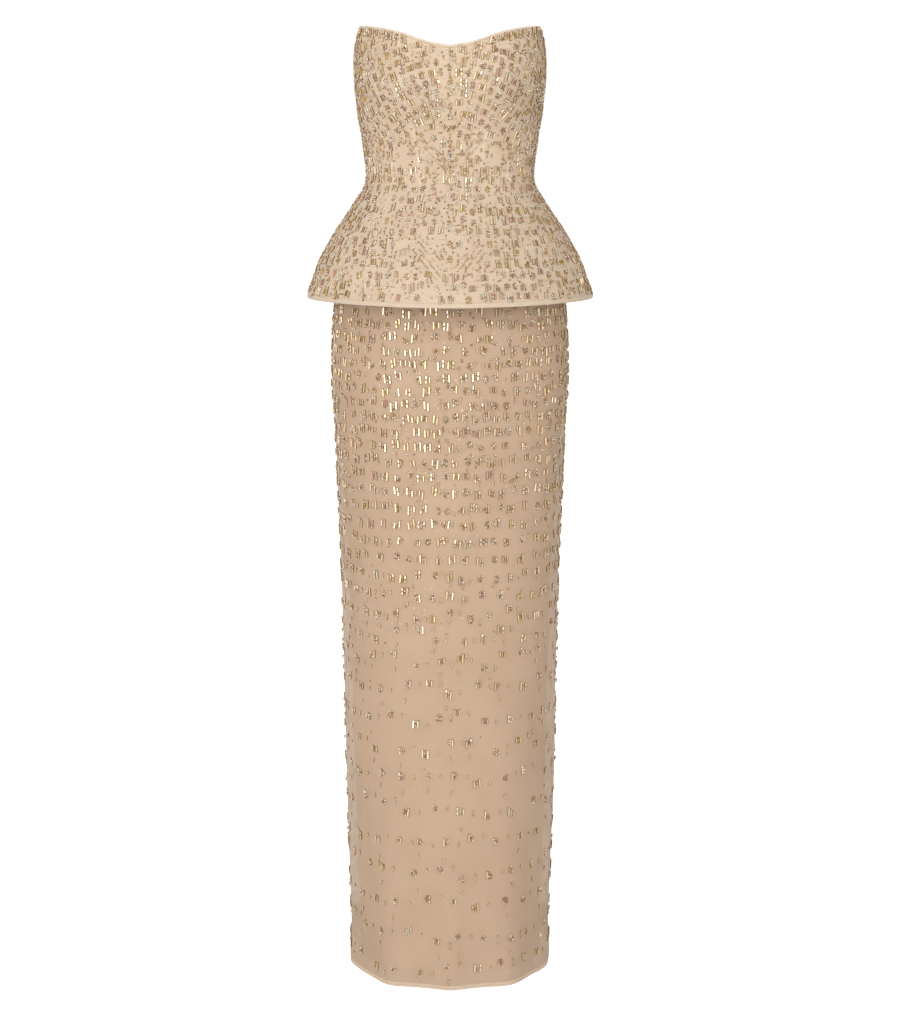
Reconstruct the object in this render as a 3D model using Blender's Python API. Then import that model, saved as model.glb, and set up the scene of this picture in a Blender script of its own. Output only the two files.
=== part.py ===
"""Strapless bustier gown in its worn, hollow shape: a panelled bodice, a stiff flared peplum and a straight
skirt of sheer tulle over a lining, closed by a concealed zip at the centre back.

The origin is the middle of the waist seam. +Z is up, the gown's front faces -Y, and the wearer's left is +X.
Angles are polar angles seen from above, in degrees: 0 at the centre front, 90 at the wearer's left side,
180 at the centre back. Every cloth wall is a grid of points on a surface, thickened inwards.
"""

import math
from collections import namedtuple

import bmesh
import bpy
from mathutils import Matrix, Vector

# Cloth and seams, in metres
SEAM_GAP = 0.0003
BODICE_WALL = 0.0020
PEPLUM_WALL = 0.0020
PEPLUM_HEM_WALL = 0.0026
OVERLAY_WALL = 0.0010
OVERLAY_HEM_WALL = 0.0016
LINING_WALL = 0.0010
TAPE_WALL = 0.0008
TAPE_GAP = 0.0006
BINDING_WALL = 0.0026
BINDING_HEIGHT = 0.0037
BINDING_PROUD = 0.0003
HEM_FOLD = 0.007

# Lengths from the waist seam, in metres
SKIRT_HEM = -1.148
LINING_HEM = -1.136
PEPLUM_HEM_FRONT = -0.166
PEPLUM_HEM_SIDE_RISE = 0.004
ZIP_END = -0.19

# Seams at constant angles, in degrees
BODICE_SIDE_SEAM = 90.0
PEPLUM_SIDE_SEAM = 90.0
SKIRT_SIDE_SEAM = 80.0
CENTRE_BACK = 180.0

# One horizontal section of the outer surface: a superellipse with its own front and back depth
Section = namedtuple("Section", "height half_width front back power")

BODICE_SECTIONS = [
    Section(0.2170, 0.1308, 0.0940, 0.0900, 2.2),
    Section(0.2000, 0.1318, 0.0990, 0.0900, 2.2),
    Section(0.1850, 0.1330, 0.1030, 0.0900, 2.2),
    Section(0.1700, 0.1342, 0.1058, 0.0896, 2.2),
    Section(0.1550, 0.1342, 0.1068, 0.0890, 2.2),
    Section(0.1380, 0.1336, 0.1064, 0.0884, 2.2),
    Section(0.1160, 0.1312, 0.1036, 0.0872, 2.2),
    Section(0.0940, 0.1290, 0.1000, 0.0860, 2.2),
    Section(0.0715, 0.1250, 0.0964, 0.0844, 2.2),
    Section(0.0490, 0.1218, 0.0933, 0.0828, 2.2),
    Section(0.0270, 0.1190, 0.0908, 0.0810, 2.2),
    Section(0.0120, 0.1180, 0.0896, 0.0800, 2.2),
    Section(0.0000, 0.1192, 0.0900, 0.0804, 2.2),
]

PEPLUM_SECTIONS = [
    Section(0.0000, 0.1192, 0.0900, 0.0804, 2.20),
    Section(-0.0070, 0.1222, 0.0922, 0.0828, 2.18),
    Section(-0.0180, 0.1292, 0.0972, 0.0888, 2.15),
    Section(-0.0410, 0.1442, 0.1076, 0.1028, 2.10),
    Section(-0.0635, 0.1600, 0.1186, 0.1178, 2.05),
    Section(-0.0860, 0.1732, 0.1286, 0.1308, 2.02),
    Section(-0.1090, 0.1862, 0.1376, 0.1438, 2.00),
    Section(-0.1320, 0.1945, 0.1442, 0.1538, 2.00),
    Section(-0.1550, 0.2032, 0.1508, 0.1618, 2.00),
    Section(-0.1660, 0.2057, 0.1540, 0.1650, 2.00),
]

SKIRT_SECTIONS = [
    Section(0.0000, 0.1168, 0.0876, 0.0780, 2.2),
    Section(-0.0120, 0.1200, 0.0902, 0.0808, 2.2),
    Section(-0.0400, 0.1300, 0.0958, 0.0908, 2.2),
    Section(-0.0800, 0.1450, 0.1030, 0.1040, 2.2),
    Section(-0.1200, 0.1565, 0.1090, 0.1170, 2.2),
    Section(-0.1600, 0.1640, 0.1140, 0.1270, 2.2),
    Section(-0.2240, 0.1690, 0.1190, 0.1330, 2.2),
    Section(-0.2810, 0.1702, 0.1215, 0.1330, 2.2),
    Section(-0.3400, 0.1664, 0.1235, 0.1310, 2.2),
    Section(-0.4570, 0.1626, 0.1275, 0.1290, 2.2),
    Section(-0.5500, 0.1592, 0.1310, 0.1280, 2.2),
    Section(-0.6900, 0.1568, 0.1355, 0.1290, 2.2),
    Section(-0.8800, 0.1535, 0.1430, 0.1340, 2.2),
    Section(-1.0065, 0.1503, 0.1468, 0.1375, 2.2),
    Section(-1.1013, 0.1478, 0.1495, 0.1400, 2.2),
    Section(-1.1480, 0.1500, 0.1505, 0.1420, 2.2),
]

# Gap between the sheer overlay and the lining inside it, down the skirt
Spacing = namedtuple("Spacing", "height gap")

LINING_SPACING = [
    Spacing(0.0, 0.0007),
    Spacing(-0.04, 0.0009),
    Spacing(-0.12, 0.0014),
    Spacing(-0.20, 0.0022),
    Spacing(-0.30, 0.0045),
    Spacing(-0.45, 0.0085),
    Spacing(-0.60, 0.0110),
    Spacing(-1.148, 0.0120),
]

# Top edge of the bodice: low at the centre front, two rounded corners, dipping under the arms to the back
EdgePoint = namedtuple("EdgePoint", "angle height")

NECKLINE = [
    EdgePoint(0.0, 0.1880),
    EdgePoint(14.0, 0.1922),
    EdgePoint(26.0, 0.1985),
    EdgePoint(37.0, 0.2055),
    EdgePoint(52.0, 0.2118),
    EdgePoint(66.0, 0.2155),
    EdgePoint(75.0, 0.2166),
    EdgePoint(80.0, 0.2095),
    EdgePoint(86.0, 0.1960),
    EdgePoint(93.0, 0.1830),
    EdgePoint(105.0, 0.1700),
    EdgePoint(125.0, 0.1580),
    EdgePoint(150.0, 0.1500),
    EdgePoint(180.0, 0.1480),
]

# A shaped seam's angle at each share of its panel's height, from the waist seam
SeamPoint = namedtuple("SeamPoint", "share angle")

PRINCESS_SEAM = [
    SeamPoint(0.0, 26.0),
    SeamPoint(0.25, 27.5),
    SeamPoint(0.45, 31.0),
    SeamPoint(0.65, 35.0),
    SeamPoint(1.0, 38.0),
]
UNDERARM_SEAM = [
    SeamPoint(0.0, 47.5),
    SeamPoint(0.25, 50.0),
    SeamPoint(0.5, 52.5),
    SeamPoint(0.7, 55.0),
    SeamPoint(1.0, 61.0),
]
PEPLUM_SEAM = [
    SeamPoint(0.0, 47.5),
    SeamPoint(0.2, 43.5),
    SeamPoint(0.4, 38.2),
    SeamPoint(0.7, 33.5),
    SeamPoint(1.0, 30.8),
]

# Bust cups, pushed forward out of the bodice's plain section
CUP_PUSH = 0.020
CUP_CENTRE_X = 0.072
CUP_CENTRE_HEIGHT = 0.137
CUP_SPREAD_X = 0.046
CUP_SPREAD_UP = 0.052
CUP_SPREAD_DOWN = 0.050
CUP_FADE_COSINE = 0.55

# Soft upright folds of the overlay towards its hem: ridges where push is positive
Fold = namedtuple("Fold", "angle spread push start")

OVERLAY_FOLDS = [
    Fold(0.0, 9.0, 0.0075, -0.80),
    Fold(33.0, 10.0, 0.0090, -0.66),
    Fold(-33.0, 10.0, 0.0090, -0.70),
    Fold(66.0, 8.0, 0.0035, -0.55),
    Fold(-72.0, 8.0, 0.0030, -0.72),
    Fold(108.0, 12.0, 0.0050, -0.75),
    Fold(-106.0, 12.0, 0.0050, -0.80),
    Fold(144.0, 13.0, 0.0060, -0.70),
    Fold(-142.0, 13.0, 0.0060, -0.75),
]
FOLD_GROWTH = 1.4

# Grid rows, as shares of the panel's height on the bodice and as heights on the skirt
BODICE_ROWS = [0.0, 0.07, 0.15, 0.24, 0.34, 0.44, 0.54, 0.64, 0.73, 0.82, 0.91, 1.0]
PEPLUM_HEM_SHARE = 0.957
PEPLUM_ROWS = [0.0, 0.05, 0.12, 0.22, 0.34, 0.47, 0.60, 0.73, 0.86, PEPLUM_HEM_SHARE, 1.0]
SHARED_SKIRT_HEIGHTS = [-0.012, -0.04, -0.08, -0.12, -0.155, ZIP_END]
OVERLAY_HEIGHTS = SHARED_SKIRT_HEIGHTS + [
    -0.235, -0.285, -0.36, -0.48, -0.62, -0.75, -0.86, -0.95, -1.03, -1.095,
]
LINING_HEIGHTS = SHARED_SKIRT_HEIGHTS + [-0.235, -0.285, -0.38, -0.53, -0.70, -0.92]

# Degrees: the step that finds a surface's direction, and the turn from which an edge is shaded sharp
NORMAL_STEP = 0.5
SHARP_EDGE = 40.0

# Grid columns of each panel
CENTRE_FRONT_COLUMNS = 5
SIDE_FRONT_COLUMNS = 4
SIDE_COLUMNS = 5
BACK_COLUMNS = 9
PEPLUM_FRONT_COLUMNS = 12
PEPLUM_SIDE_COLUMNS = 8
PEPLUM_BACK_COLUMNS = 11
OVERLAY_FRONT_COLUMNS = 24
OVERLAY_BACK_COLUMNS = 13
LINING_FRONT_COLUMNS = 20
LINING_BACK_COLUMNS = 13

# Concealed zip at the centre back
LIP_HALF_GAP = 0.0011
LIP_CLOSED_BELOW = 0.119
LIP_OPEN_ABOVE = 0.130
TAPE_INNER_X = 0.0011
TAPE_OUTER_X = 0.0105
TAPE_SETTLE = 0.02
SLIDER_HEIGHT = 0.137
PLATE_SIZE = Vector((0.0070, 0.0012, 0.0100))
NECK_HALF_WIDTH = 0.0007
NECK_HALF_HEIGHT = 0.0016
EYE_HOLE_RADIUS = 0.00115
EYE_HOLE_SIDES = 12
EYE_RADIUS = 0.0021
EYE_SIDES = 16
PIVOT_OUT = 0.0025
PIN_THICKNESS = 0.0010
PULL_WINDOW_HALF_WIDTH = 0.0011
PULL_WINDOW_DROP = 0.0030
PULL_NARROW_HALF_WIDTH = 0.0021
PULL_WIDE_HALF_WIDTH = 0.0027
PULL_LENGTH = 0.0240
PULL_END_STEPS = 8
PULL_BEVEL = 0.00018
PULL_BEVEL_ABOVE = 60.0

# Finishes: colour, roughness, metallic value and opacity
Finish = namedtuple("Finish", "colour roughness metallic alpha")

BEADED_TULLE = Finish((0.66, 0.52, 0.37), 0.70, 0.0, 1.0)
PEPLUM_TULLE = Finish((0.66, 0.52, 0.38), 0.70, 0.0, 1.0)
SHEER_TULLE = Finish((0.62, 0.50, 0.40), 0.75, 0.0, 0.5)
TAN_LINING = Finish((0.56, 0.39, 0.26), 0.60, 0.0, 1.0)
SATIN_EDGE = Finish((0.74, 0.61, 0.46), 0.45, 0.0, 1.0)
ZIP_TAPE = Finish((0.58, 0.43, 0.30), 0.80, 0.0, 1.0)
PALE_BRASS = Finish((0.72, 0.58, 0.36), 0.30, 1.0, 1.0)


def clear_scene():
    for item in list(bpy.data.objects):
        bpy.data.objects.remove(item, do_unlink=True)


def make_material(name, finish):
    material = bpy.data.materials.new(name)
    material.use_nodes = True
    shader = material.node_tree.nodes["Principled BSDF"]
    shader.inputs["Base Color"].default_value = (*finish.colour, 1.0)
    shader.inputs["Roughness"].default_value = finish.roughness
    shader.inputs["Metallic"].default_value = finish.metallic
    shader.inputs["Alpha"].default_value = finish.alpha
    return material


def add_object(name, vertices, faces, finish):
    mesh = bpy.data.meshes.new(name)
    mesh.from_pydata([tuple(v) for v in vertices], [], faces)
    mesh.validate()
    item = bpy.data.objects.new(name, mesh)
    item.data.materials.append(make_material(name, finish))
    bpy.context.scene.collection.objects.link(item)
    return item


def blend(low, high, share):
    return low + (high - low) * share


def ease(share):
    share = max(0.0, min(1.0, share))
    return share * share * (3.0 - 2.0 * share)


def curve_value(rows, key, column, at):
    """Reads a table's column at a key, on a smooth curve that never overshoots its rows."""
    rows = sorted(rows, key=lambda row: getattr(row, key))
    keys = [getattr(row, key) for row in rows]
    values = [getattr(row, column) for row in rows]
    last = len(rows) - 1
    if at <= keys[0]:
        return values[0]
    if at >= keys[last]:
        return values[last]
    steps = [(values[i + 1] - values[i]) / (keys[i + 1] - keys[i]) for i in range(last)]

    def slope(i):
        if i == 0:
            return steps[0]
        if i == last:
            return steps[last - 1]
        before, after = steps[i - 1], steps[i]
        if before * after <= 0.0:
            return 0.0
        return 2.0 * before * after / (before + after)

    i = max(j for j in range(last) if keys[j] <= at)
    span = keys[i + 1] - keys[i]
    t = (at - keys[i]) / span
    start = (1.0 + 2.0 * t) * (1.0 - t) ** 2 * values[i] + t * (1.0 - t) ** 2 * span * slope(i)
    end = t * t * (3.0 - 2.0 * t) * values[i + 1] + t * t * (t - 1.0) * span * slope(i + 1)
    return start + end


def section_point(sections, angle, height):
    """Point of the superellipse section at a polar angle and height."""
    half_width = curve_value(sections, "height", "half_width", height)
    power = curve_value(sections, "height", "power", height)
    across = math.sin(math.radians(angle))
    forward = math.cos(math.radians(angle))
    side = "front" if forward >= 0.0 else "back"
    depth = curve_value(sections, "height", side, height)
    total = abs(across / half_width) ** power + abs(forward / depth) ** power
    radius = total ** (-1.0 / power)
    return Vector((radius * across, -radius * forward, height))


def cup_push(angle, x, height):
    fade = math.sin(0.5 * math.pi * max(0.0, min(1.0, math.cos(math.radians(angle)) / CUP_FADE_COSINE)))
    spread = CUP_SPREAD_UP if height > CUP_CENTRE_HEIGHT else CUP_SPREAD_DOWN
    rise = math.exp(-(((height - CUP_CENTRE_HEIGHT) / spread) ** 2))
    cups = math.exp(-(((x - CUP_CENTRE_X) / CUP_SPREAD_X) ** 2))
    cups += math.exp(-(((x + CUP_CENTRE_X) / CUP_SPREAD_X) ** 2))
    return CUP_PUSH * fade * rise * cups


def bodice_point(angle, height):
    point = section_point(BODICE_SECTIONS, angle, height)
    point.y -= cup_push(angle, point.x, height)
    return point


def peplum_point(angle, height):
    return section_point(PEPLUM_SECTIONS, angle, height)


def plain_skirt_point(angle, height):
    return section_point(SKIRT_SECTIONS, angle, height)


def angle_between(first, second):
    return abs((first - second + 180.0) % 360.0 - 180.0)


def overlay_point(angle, height):
    point = plain_skirt_point(angle, height)
    push = 0.0
    for fold in OVERLAY_FOLDS:
        growth = ease((fold.start - height) / (fold.start - SKIRT_HEM)) ** FOLD_GROWTH
        push += fold.push * growth * math.exp(-((angle_between(angle, fold.angle) / fold.spread) ** 2))
    outward = Vector((point.x, point.y, 0.0)).normalized()
    return point + outward * push


def lining_point(angle, height):
    gap = curve_value(LINING_SPACING, "height", "gap", height)
    return moved_in(plain_skirt_point, angle, height, OVERLAY_WALL + gap)


def outward_normal(surface, angle, height):
    """Level direction that points out of a surface, square to its section."""
    along = surface(angle + NORMAL_STEP, height) - surface(angle - NORMAL_STEP, height)
    return Vector((along.y, -along.x, 0.0)).normalized()


def moved_in(surface, angle, height, distance):
    return surface(angle, height) - outward_normal(surface, angle, height) * distance


def neckline_height(angle):
    return curve_value(NECKLINE, "angle", "height", angle_between(angle, 0.0))


def peplum_hem_height(angle):
    return PEPLUM_HEM_FRONT + PEPLUM_HEM_SIDE_RISE * math.sin(math.radians(angle)) ** 2


def seam_angle(seam, share):
    return curve_value(seam, "share", "angle", share)


def bodice_height(angle, share):
    """Height on a bodice panel, from the waist seam to just under the binding."""
    top = neckline_height(angle) - BINDING_HEIGHT - SEAM_GAP
    return blend(0.5 * SEAM_GAP, top, share)


def peplum_height(angle, share):
    """Height on a peplum panel, from the waist seam at 0 down to the hem at 1."""
    return blend(-0.5 * SEAM_GAP, peplum_hem_height(angle), share)


def lip_half_gap(height):
    """Half the opening between the centre back edges: the seam's own, wider around the zip's slider."""
    share = (height - LIP_CLOSED_BELOW) / (LIP_OPEN_ABOVE - LIP_CLOSED_BELOW)
    return blend(0.5 * SEAM_GAP, LIP_HALF_GAP, max(0.0, min(1.0, share)))


def trimmed(surface, angle, height, distance):
    """Angle of the point a distance along a section from the one at this angle."""
    here = surface(angle, height)
    return angle + math.degrees(distance / math.hypot(here.x, here.y))


def row_angles(surface, edges, heights, columns):
    """Angles across one row between two seam edges, each drawn back by half a seam's gap or its own."""
    (start, start_gap), (end, end_gap) = edges
    low = trimmed(surface, start, heights(start), start_gap)
    high = trimmed(surface, end, heights(end), -end_gap)
    return [blend(low, high, i / columns) for i in range(columns + 1)]


def wall_from_rows(name, outer, inner, finish):
    """Closed wall between two grids of points, whose rows run upwards and columns towards the left."""
    rows, columns = len(outer), len(outer[0])
    vertices = [point for row in outer for point in row] + [point for row in inner for point in row]
    offset = rows * columns

    def at(row, column):
        return row * columns + column

    faces = []
    for row in range(rows - 1):
        for column in range(columns - 1):
            quad = [at(row, column), at(row, column + 1), at(row + 1, column + 1), at(row + 1, column)]
            faces.append(quad)
            faces.append([offset + corner for corner in reversed(quad)])
    for column in range(columns - 1):
        low, high = at(0, column), at(0, column + 1)
        faces.append([high, low, offset + low, offset + high])
        low, high = at(rows - 1, column), at(rows - 1, column + 1)
        faces.append([low, high, offset + high, offset + low])
    for row in range(rows - 1):
        low, high = at(row, 0), at(row + 1, 0)
        faces.append([low, high, offset + high, offset + low])
        low, high = at(row, columns - 1), at(row + 1, columns - 1)
        faces.append([high, low, offset + low, offset + high])
    item = add_object(name, vertices, faces, finish)
    item.data.shade_smooth()
    item.data.set_sharp_from_angle(angle=math.radians(SHARP_EDGE))
    return item


def make_panel(name, surface, rows, edges_at, height_at, columns, wall_at, finish):
    """One cloth panel. edges_at(row) gives the two seam edges, height_at(angle, row) the height."""
    outer, inner = [], []
    for row in rows:
        angles = row_angles(surface, edges_at(row), lambda angle: height_at(angle, row), columns)
        outer.append([surface(angle, height_at(angle, row)) for angle in angles])
        inner.append([moved_in(surface, angle, height_at(angle, row), wall_at(row)) for angle in angles])
    return wall_from_rows(name, outer, inner, finish)


def plain_edge(angle):
    return (angle, 0.5 * SEAM_GAP)


def both_sides(name, edges_at):
    """The panel's name and seam edges on the wearer's left, then their mirror image on the right."""

    def mirrored(row):
        (start, start_gap), (end, end_gap) = edges_at(row)
        return (-end, end_gap), (-start, start_gap)

    return [(name + "_left", edges_at), (name + "_right", mirrored)]


def make_bodice():
    def centre_front(row):
        return plain_edge(0.0), plain_edge(seam_angle(PRINCESS_SEAM, row))

    def side_front(row):
        return plain_edge(seam_angle(PRINCESS_SEAM, row)), plain_edge(seam_angle(UNDERARM_SEAM, row))

    def side(row):
        return plain_edge(seam_angle(UNDERARM_SEAM, row)), plain_edge(BODICE_SIDE_SEAM)

    def back(row):
        lips = lip_half_gap(bodice_height(CENTRE_BACK, row))
        return plain_edge(BODICE_SIDE_SEAM), (CENTRE_BACK, lips)

    panels = [
        ("bodice_centre_front", centre_front, CENTRE_FRONT_COLUMNS),
        ("bodice_side_front", side_front, SIDE_FRONT_COLUMNS),
        ("bodice_side", side, SIDE_COLUMNS),
        ("bodice_back", back, BACK_COLUMNS),
    ]
    for base, edges, columns in panels:
        for name, edges_at in both_sides(base, edges):
            make_panel(name, bodice_point, BODICE_ROWS, edges_at, bodice_height, columns,
                       lambda row: BODICE_WALL, BEADED_TULLE)


def binding_point(angle, height):
    point = bodice_point(angle, height)
    return point + outward_normal(bodice_point, angle, height) * BINDING_PROUD


def make_binding():
    """Narrow bound edge on top of the bodice panels, open at the zip."""
    gaps = math.degrees(LIP_HALF_GAP / abs(bodice_point(CENTRE_BACK, neckline_height(CENTRE_BACK)).y))
    seams = [0.0, seam_angle(PRINCESS_SEAM, 1.0), seam_angle(UNDERARM_SEAM, 1.0), BODICE_SIDE_SEAM,
             CENTRE_BACK - gaps]
    columns = [CENTRE_FRONT_COLUMNS, SIDE_FRONT_COLUMNS, SIDE_COLUMNS, BACK_COLUMNS]
    left = [0.0]
    for start, end, count in zip(seams, seams[1:], columns):
        left += [blend(start, end, (i + 1) / count) for i in range(count)]
    angles = [-angle for angle in reversed(left[1:])] + left
    outer, inner = [], []
    for drop in (BINDING_HEIGHT, 0.5 * BINDING_HEIGHT, 0.0):
        heights = [neckline_height(angle) - drop for angle in angles]
        outer.append([binding_point(a, h) for a, h in zip(angles, heights)])
        inner.append([moved_in(binding_point, a, h, BINDING_WALL) for a, h in zip(angles, heights)])
    wall_from_rows("neckline_binding", outer, inner, SATIN_EDGE)


def make_peplum():
    rows = list(reversed(PEPLUM_ROWS))

    def wall_at(row):
        return PEPLUM_HEM_WALL if row >= PEPLUM_HEM_SHARE else PEPLUM_WALL

    def centre_front(row):
        return plain_edge(-seam_angle(PEPLUM_SEAM, row)), plain_edge(seam_angle(PEPLUM_SEAM, row))

    def side(row):
        return plain_edge(seam_angle(PEPLUM_SEAM, row)), plain_edge(PEPLUM_SIDE_SEAM)

    def back(row):
        return plain_edge(PEPLUM_SIDE_SEAM), plain_edge(CENTRE_BACK)

    panels = [("peplum_centre_front", centre_front, PEPLUM_FRONT_COLUMNS)]
    panels += [(name, edges, PEPLUM_SIDE_COLUMNS) for name, edges in both_sides("peplum_side", side)]
    panels += [(name, edges, PEPLUM_BACK_COLUMNS) for name, edges in both_sides("peplum_back", back)]
    for name, edges_at, columns in panels:
        make_panel(name, peplum_point, rows, edges_at, peplum_height, columns, wall_at, PEPLUM_TULLE)


def make_skirt_layer(base, surface, heights, wall_at, counts, finish):
    """A skirt layer in three panels: the front and two backs that meet at the centre back."""
    front_columns, back_columns = counts
    rows = list(reversed(heights))

    def front(row):
        return plain_edge(-SKIRT_SIDE_SEAM), plain_edge(SKIRT_SIDE_SEAM)

    def back(row):
        return plain_edge(SKIRT_SIDE_SEAM), plain_edge(CENTRE_BACK)

    panels = [(base + "_front", front, front_columns)]
    panels += [(name, edges, back_columns) for name, edges in both_sides(base + "_back", back)]
    for name, edges_at, columns in panels:
        make_panel(name, surface, rows, edges_at, lambda angle, row: row, columns, wall_at, finish)


def make_skirt():
    top = -0.5 * SEAM_GAP

    def overlay_wall(height):
        return OVERLAY_HEM_WALL if height <= SKIRT_HEM + HEM_FOLD else OVERLAY_WALL

    overlay_heights = [top] + OVERLAY_HEIGHTS + [SKIRT_HEM + HEM_FOLD, SKIRT_HEM]
    make_skirt_layer("skirt_overlay", overlay_point, overlay_heights, overlay_wall,
                     (OVERLAY_FRONT_COLUMNS, OVERLAY_BACK_COLUMNS), SHEER_TULLE)
    lining_heights = [top] + LINING_HEIGHTS + [LINING_HEM]
    make_skirt_layer("skirt_lining", lining_point, lining_heights, lambda height: LINING_WALL,
                     (LINING_FRONT_COLUMNS, LINING_BACK_COLUMNS), TAN_LINING)


def tape_depth(height):
    """How far the zip tape's outer face lies inside the bodice's or the lining's outer surface."""
    if height < 0.0:
        return LINING_WALL + TAPE_GAP
    at_waist = bodice_point(CENTRE_BACK, 0.0).y - lining_point(CENTRE_BACK, 0.0).y
    on_bodice = BODICE_WALL + TAPE_GAP
    on_waist = at_waist + LINING_WALL + TAPE_GAP
    return blend(on_waist, on_bodice, min(1.0, height / TAPE_SETTLE))


def make_zip_tapes():
    bodice_heights = [bodice_height(CENTRE_BACK, row) for row in BODICE_ROWS]
    skirt_heights = [h for h in reversed(LINING_HEIGHTS) if h > ZIP_END]
    upper_heights = [height for height in bodice_heights if height > TAPE_SETTLE]
    heights = [ZIP_END] + skirt_heights + [-0.5 * SEAM_GAP, 0.0, TAPE_SETTLE] + upper_heights
    for name, side in (("zip_tape_left", 1.0), ("zip_tape_right", -1.0)):
        outer, inner = [], []
        for height in heights:
            surface = lining_point if height < 0.0 else bodice_point
            radius = abs(surface(CENTRE_BACK, height).y)
            edges = [CENTRE_BACK - side * math.degrees(x / radius) for x in (TAPE_INNER_X, TAPE_OUTER_X)]
            depth = tape_depth(height)
            angles = sorted(edges)
            outer.append([moved_in(surface, angle, height, depth) for angle in angles])
            inner.append([moved_in(surface, angle, height, depth + TAPE_WALL) for angle in angles])
        wall_from_rows(name, outer, inner, ZIP_TAPE)


def box_mesh(size, centre):
    mesh = bmesh.new()
    bmesh.ops.create_cube(mesh, size=1.0)
    bmesh.ops.scale(mesh, vec=size, verts=mesh.verts)
    bmesh.ops.translate(mesh, vec=centre, verts=mesh.verts)
    return mesh


def rod_mesh(radius, length, centre, sides):
    """Rod along X."""
    mesh = bmesh.new()
    bmesh.ops.create_cone(mesh, cap_ends=True, segments=sides, radius1=radius, radius2=radius, depth=length)
    bmesh.ops.rotate(mesh, matrix=Matrix.Rotation(math.radians(90.0), 3, "Y"), verts=mesh.verts)
    bmesh.ops.translate(mesh, vec=centre, verts=mesh.verts)
    return mesh


def object_from_bmesh(name, mesh, finish):
    data = bpy.data.meshes.new(name)
    mesh.to_mesh(data)
    mesh.free()
    item = bpy.data.objects.new(name, data)
    item.data.materials.append(make_material(name, finish))
    bpy.context.scene.collection.objects.link(item)
    return item


def combine(item, other, operation):
    """Boolean of an object with a helper that stays hidden."""
    other.hide_render = True
    other.display_type = "WIRE"
    step = item.modifiers.new(operation.lower() + "_" + other.name, "BOOLEAN")
    step.operation = operation
    step.object = other


def zip_pivot():
    back = bodice_point(CENTRE_BACK, SLIDER_HEIGHT)
    return Vector((0.0, back.y + PIVOT_OUT, SLIDER_HEIGHT))


def make_slider():
    """Plate behind the lips, a neck between them, and an eye outside for the pull's pin."""
    pivot = zip_pivot()
    cloth = pivot.y - PIVOT_OUT
    plate_outer = cloth - BODICE_WALL - TAPE_GAP - TAPE_WALL - SEAM_GAP
    plate_centre = Vector((0.0, plate_outer - 0.5 * PLATE_SIZE.y, SLIDER_HEIGHT))
    slider = object_from_bmesh("zip_slider", box_mesh(PLATE_SIZE, plate_centre), PALE_BRASS)
    neck_start = plate_centre.y
    neck_end = pivot.y - 0.5 * (EYE_RADIUS + EYE_HOLE_RADIUS)
    neck_size = Vector((2.0 * NECK_HALF_WIDTH, neck_end - neck_start, 2.0 * NECK_HALF_HEIGHT))
    neck_centre = Vector((0.0, 0.5 * (neck_start + neck_end), SLIDER_HEIGHT))
    neck = object_from_bmesh("slider_neck_guide", box_mesh(neck_size, neck_centre), PALE_BRASS)
    eye = object_from_bmesh("slider_eye_guide", rod_mesh(EYE_RADIUS, 2.0 * NECK_HALF_WIDTH, pivot, EYE_SIDES),
                            PALE_BRASS)
    hole = object_from_bmesh("slider_hole_guide", rod_mesh(EYE_HOLE_RADIUS, PLATE_SIZE.x, pivot, EYE_HOLE_SIDES),
                             PALE_BRASS)
    combine(slider, neck, "UNION")
    combine(slider, eye, "UNION")
    combine(slider, hole, "DIFFERENCE")


def pull_half_outline():
    """The pull's outer edge on the left, from its pin's top down to the middle of the round end."""
    top = 0.5 * PIN_THICKNESS
    end_centre = -(PULL_LENGTH - PULL_WIDE_HALF_WIDTH)
    points = [(PULL_NARROW_HALF_WIDTH, top), (PULL_NARROW_HALF_WIDTH, -PULL_WINDOW_DROP - PIN_THICKNESS)]
    for step in range(PULL_END_STEPS + 1):
        turn = 0.5 * math.pi * step / PULL_END_STEPS
        points.append((PULL_WIDE_HALF_WIDTH * math.cos(turn), end_centre - PULL_WIDE_HALF_WIDTH * math.sin(turn)))
    return points


def make_pull():
    """Flat drop-shaped tab with a window at its top that leaves a pin in the slider's eye."""
    pivot = zip_pivot()
    half = pull_half_outline()
    outline = half + [(-x, z) for x, z in reversed(half[:-1])]
    top = -0.5 * PIN_THICKNESS
    window = [
        (PULL_WINDOW_HALF_WIDTH, top),
        (PULL_WINDOW_HALF_WIDTH, -PULL_WINDOW_DROP),
        (-PULL_WINDOW_HALF_WIDTH, -PULL_WINDOW_DROP),
        (-PULL_WINDOW_HALF_WIDTH, top),
    ]
    mesh = bmesh.new()
    rings = [[mesh.verts.new((x, -0.5 * PIN_THICKNESS, z)) for x, z in ring] for ring in (outline, window)]
    edges = []
    for ring in rings:
        edges += [mesh.edges.new((ring[i], ring[(i + 1) % len(ring)])) for i in range(len(ring))]
    bmesh.ops.triangle_fill(mesh, edges=edges, use_beauty=True, use_dissolve=False)
    sheet = bmesh.ops.extrude_face_region(mesh, geom=mesh.faces[:])
    lifted = [part for part in sheet["geom"] if isinstance(part, bmesh.types.BMVert)]
    bmesh.ops.translate(mesh, vec=(0.0, PIN_THICKNESS, 0.0), verts=lifted)
    bmesh.ops.recalc_face_normals(mesh, faces=mesh.faces)
    pull = object_from_bmesh("zip_pull", mesh, PALE_BRASS)
    pull.location = pivot
    bevel = pull.modifiers.new("edge_bevel", "BEVEL")
    bevel.width = PULL_BEVEL
    bevel.segments = 1
    bevel.limit_method = "ANGLE"
    bevel.angle_limit = math.radians(PULL_BEVEL_ABOVE)


def main():
    clear_scene()
    make_bodice()
    make_binding()
    make_peplum()
    make_skirt()
    make_zip_tapes()
    make_slider()
    make_pull()


main()
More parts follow.
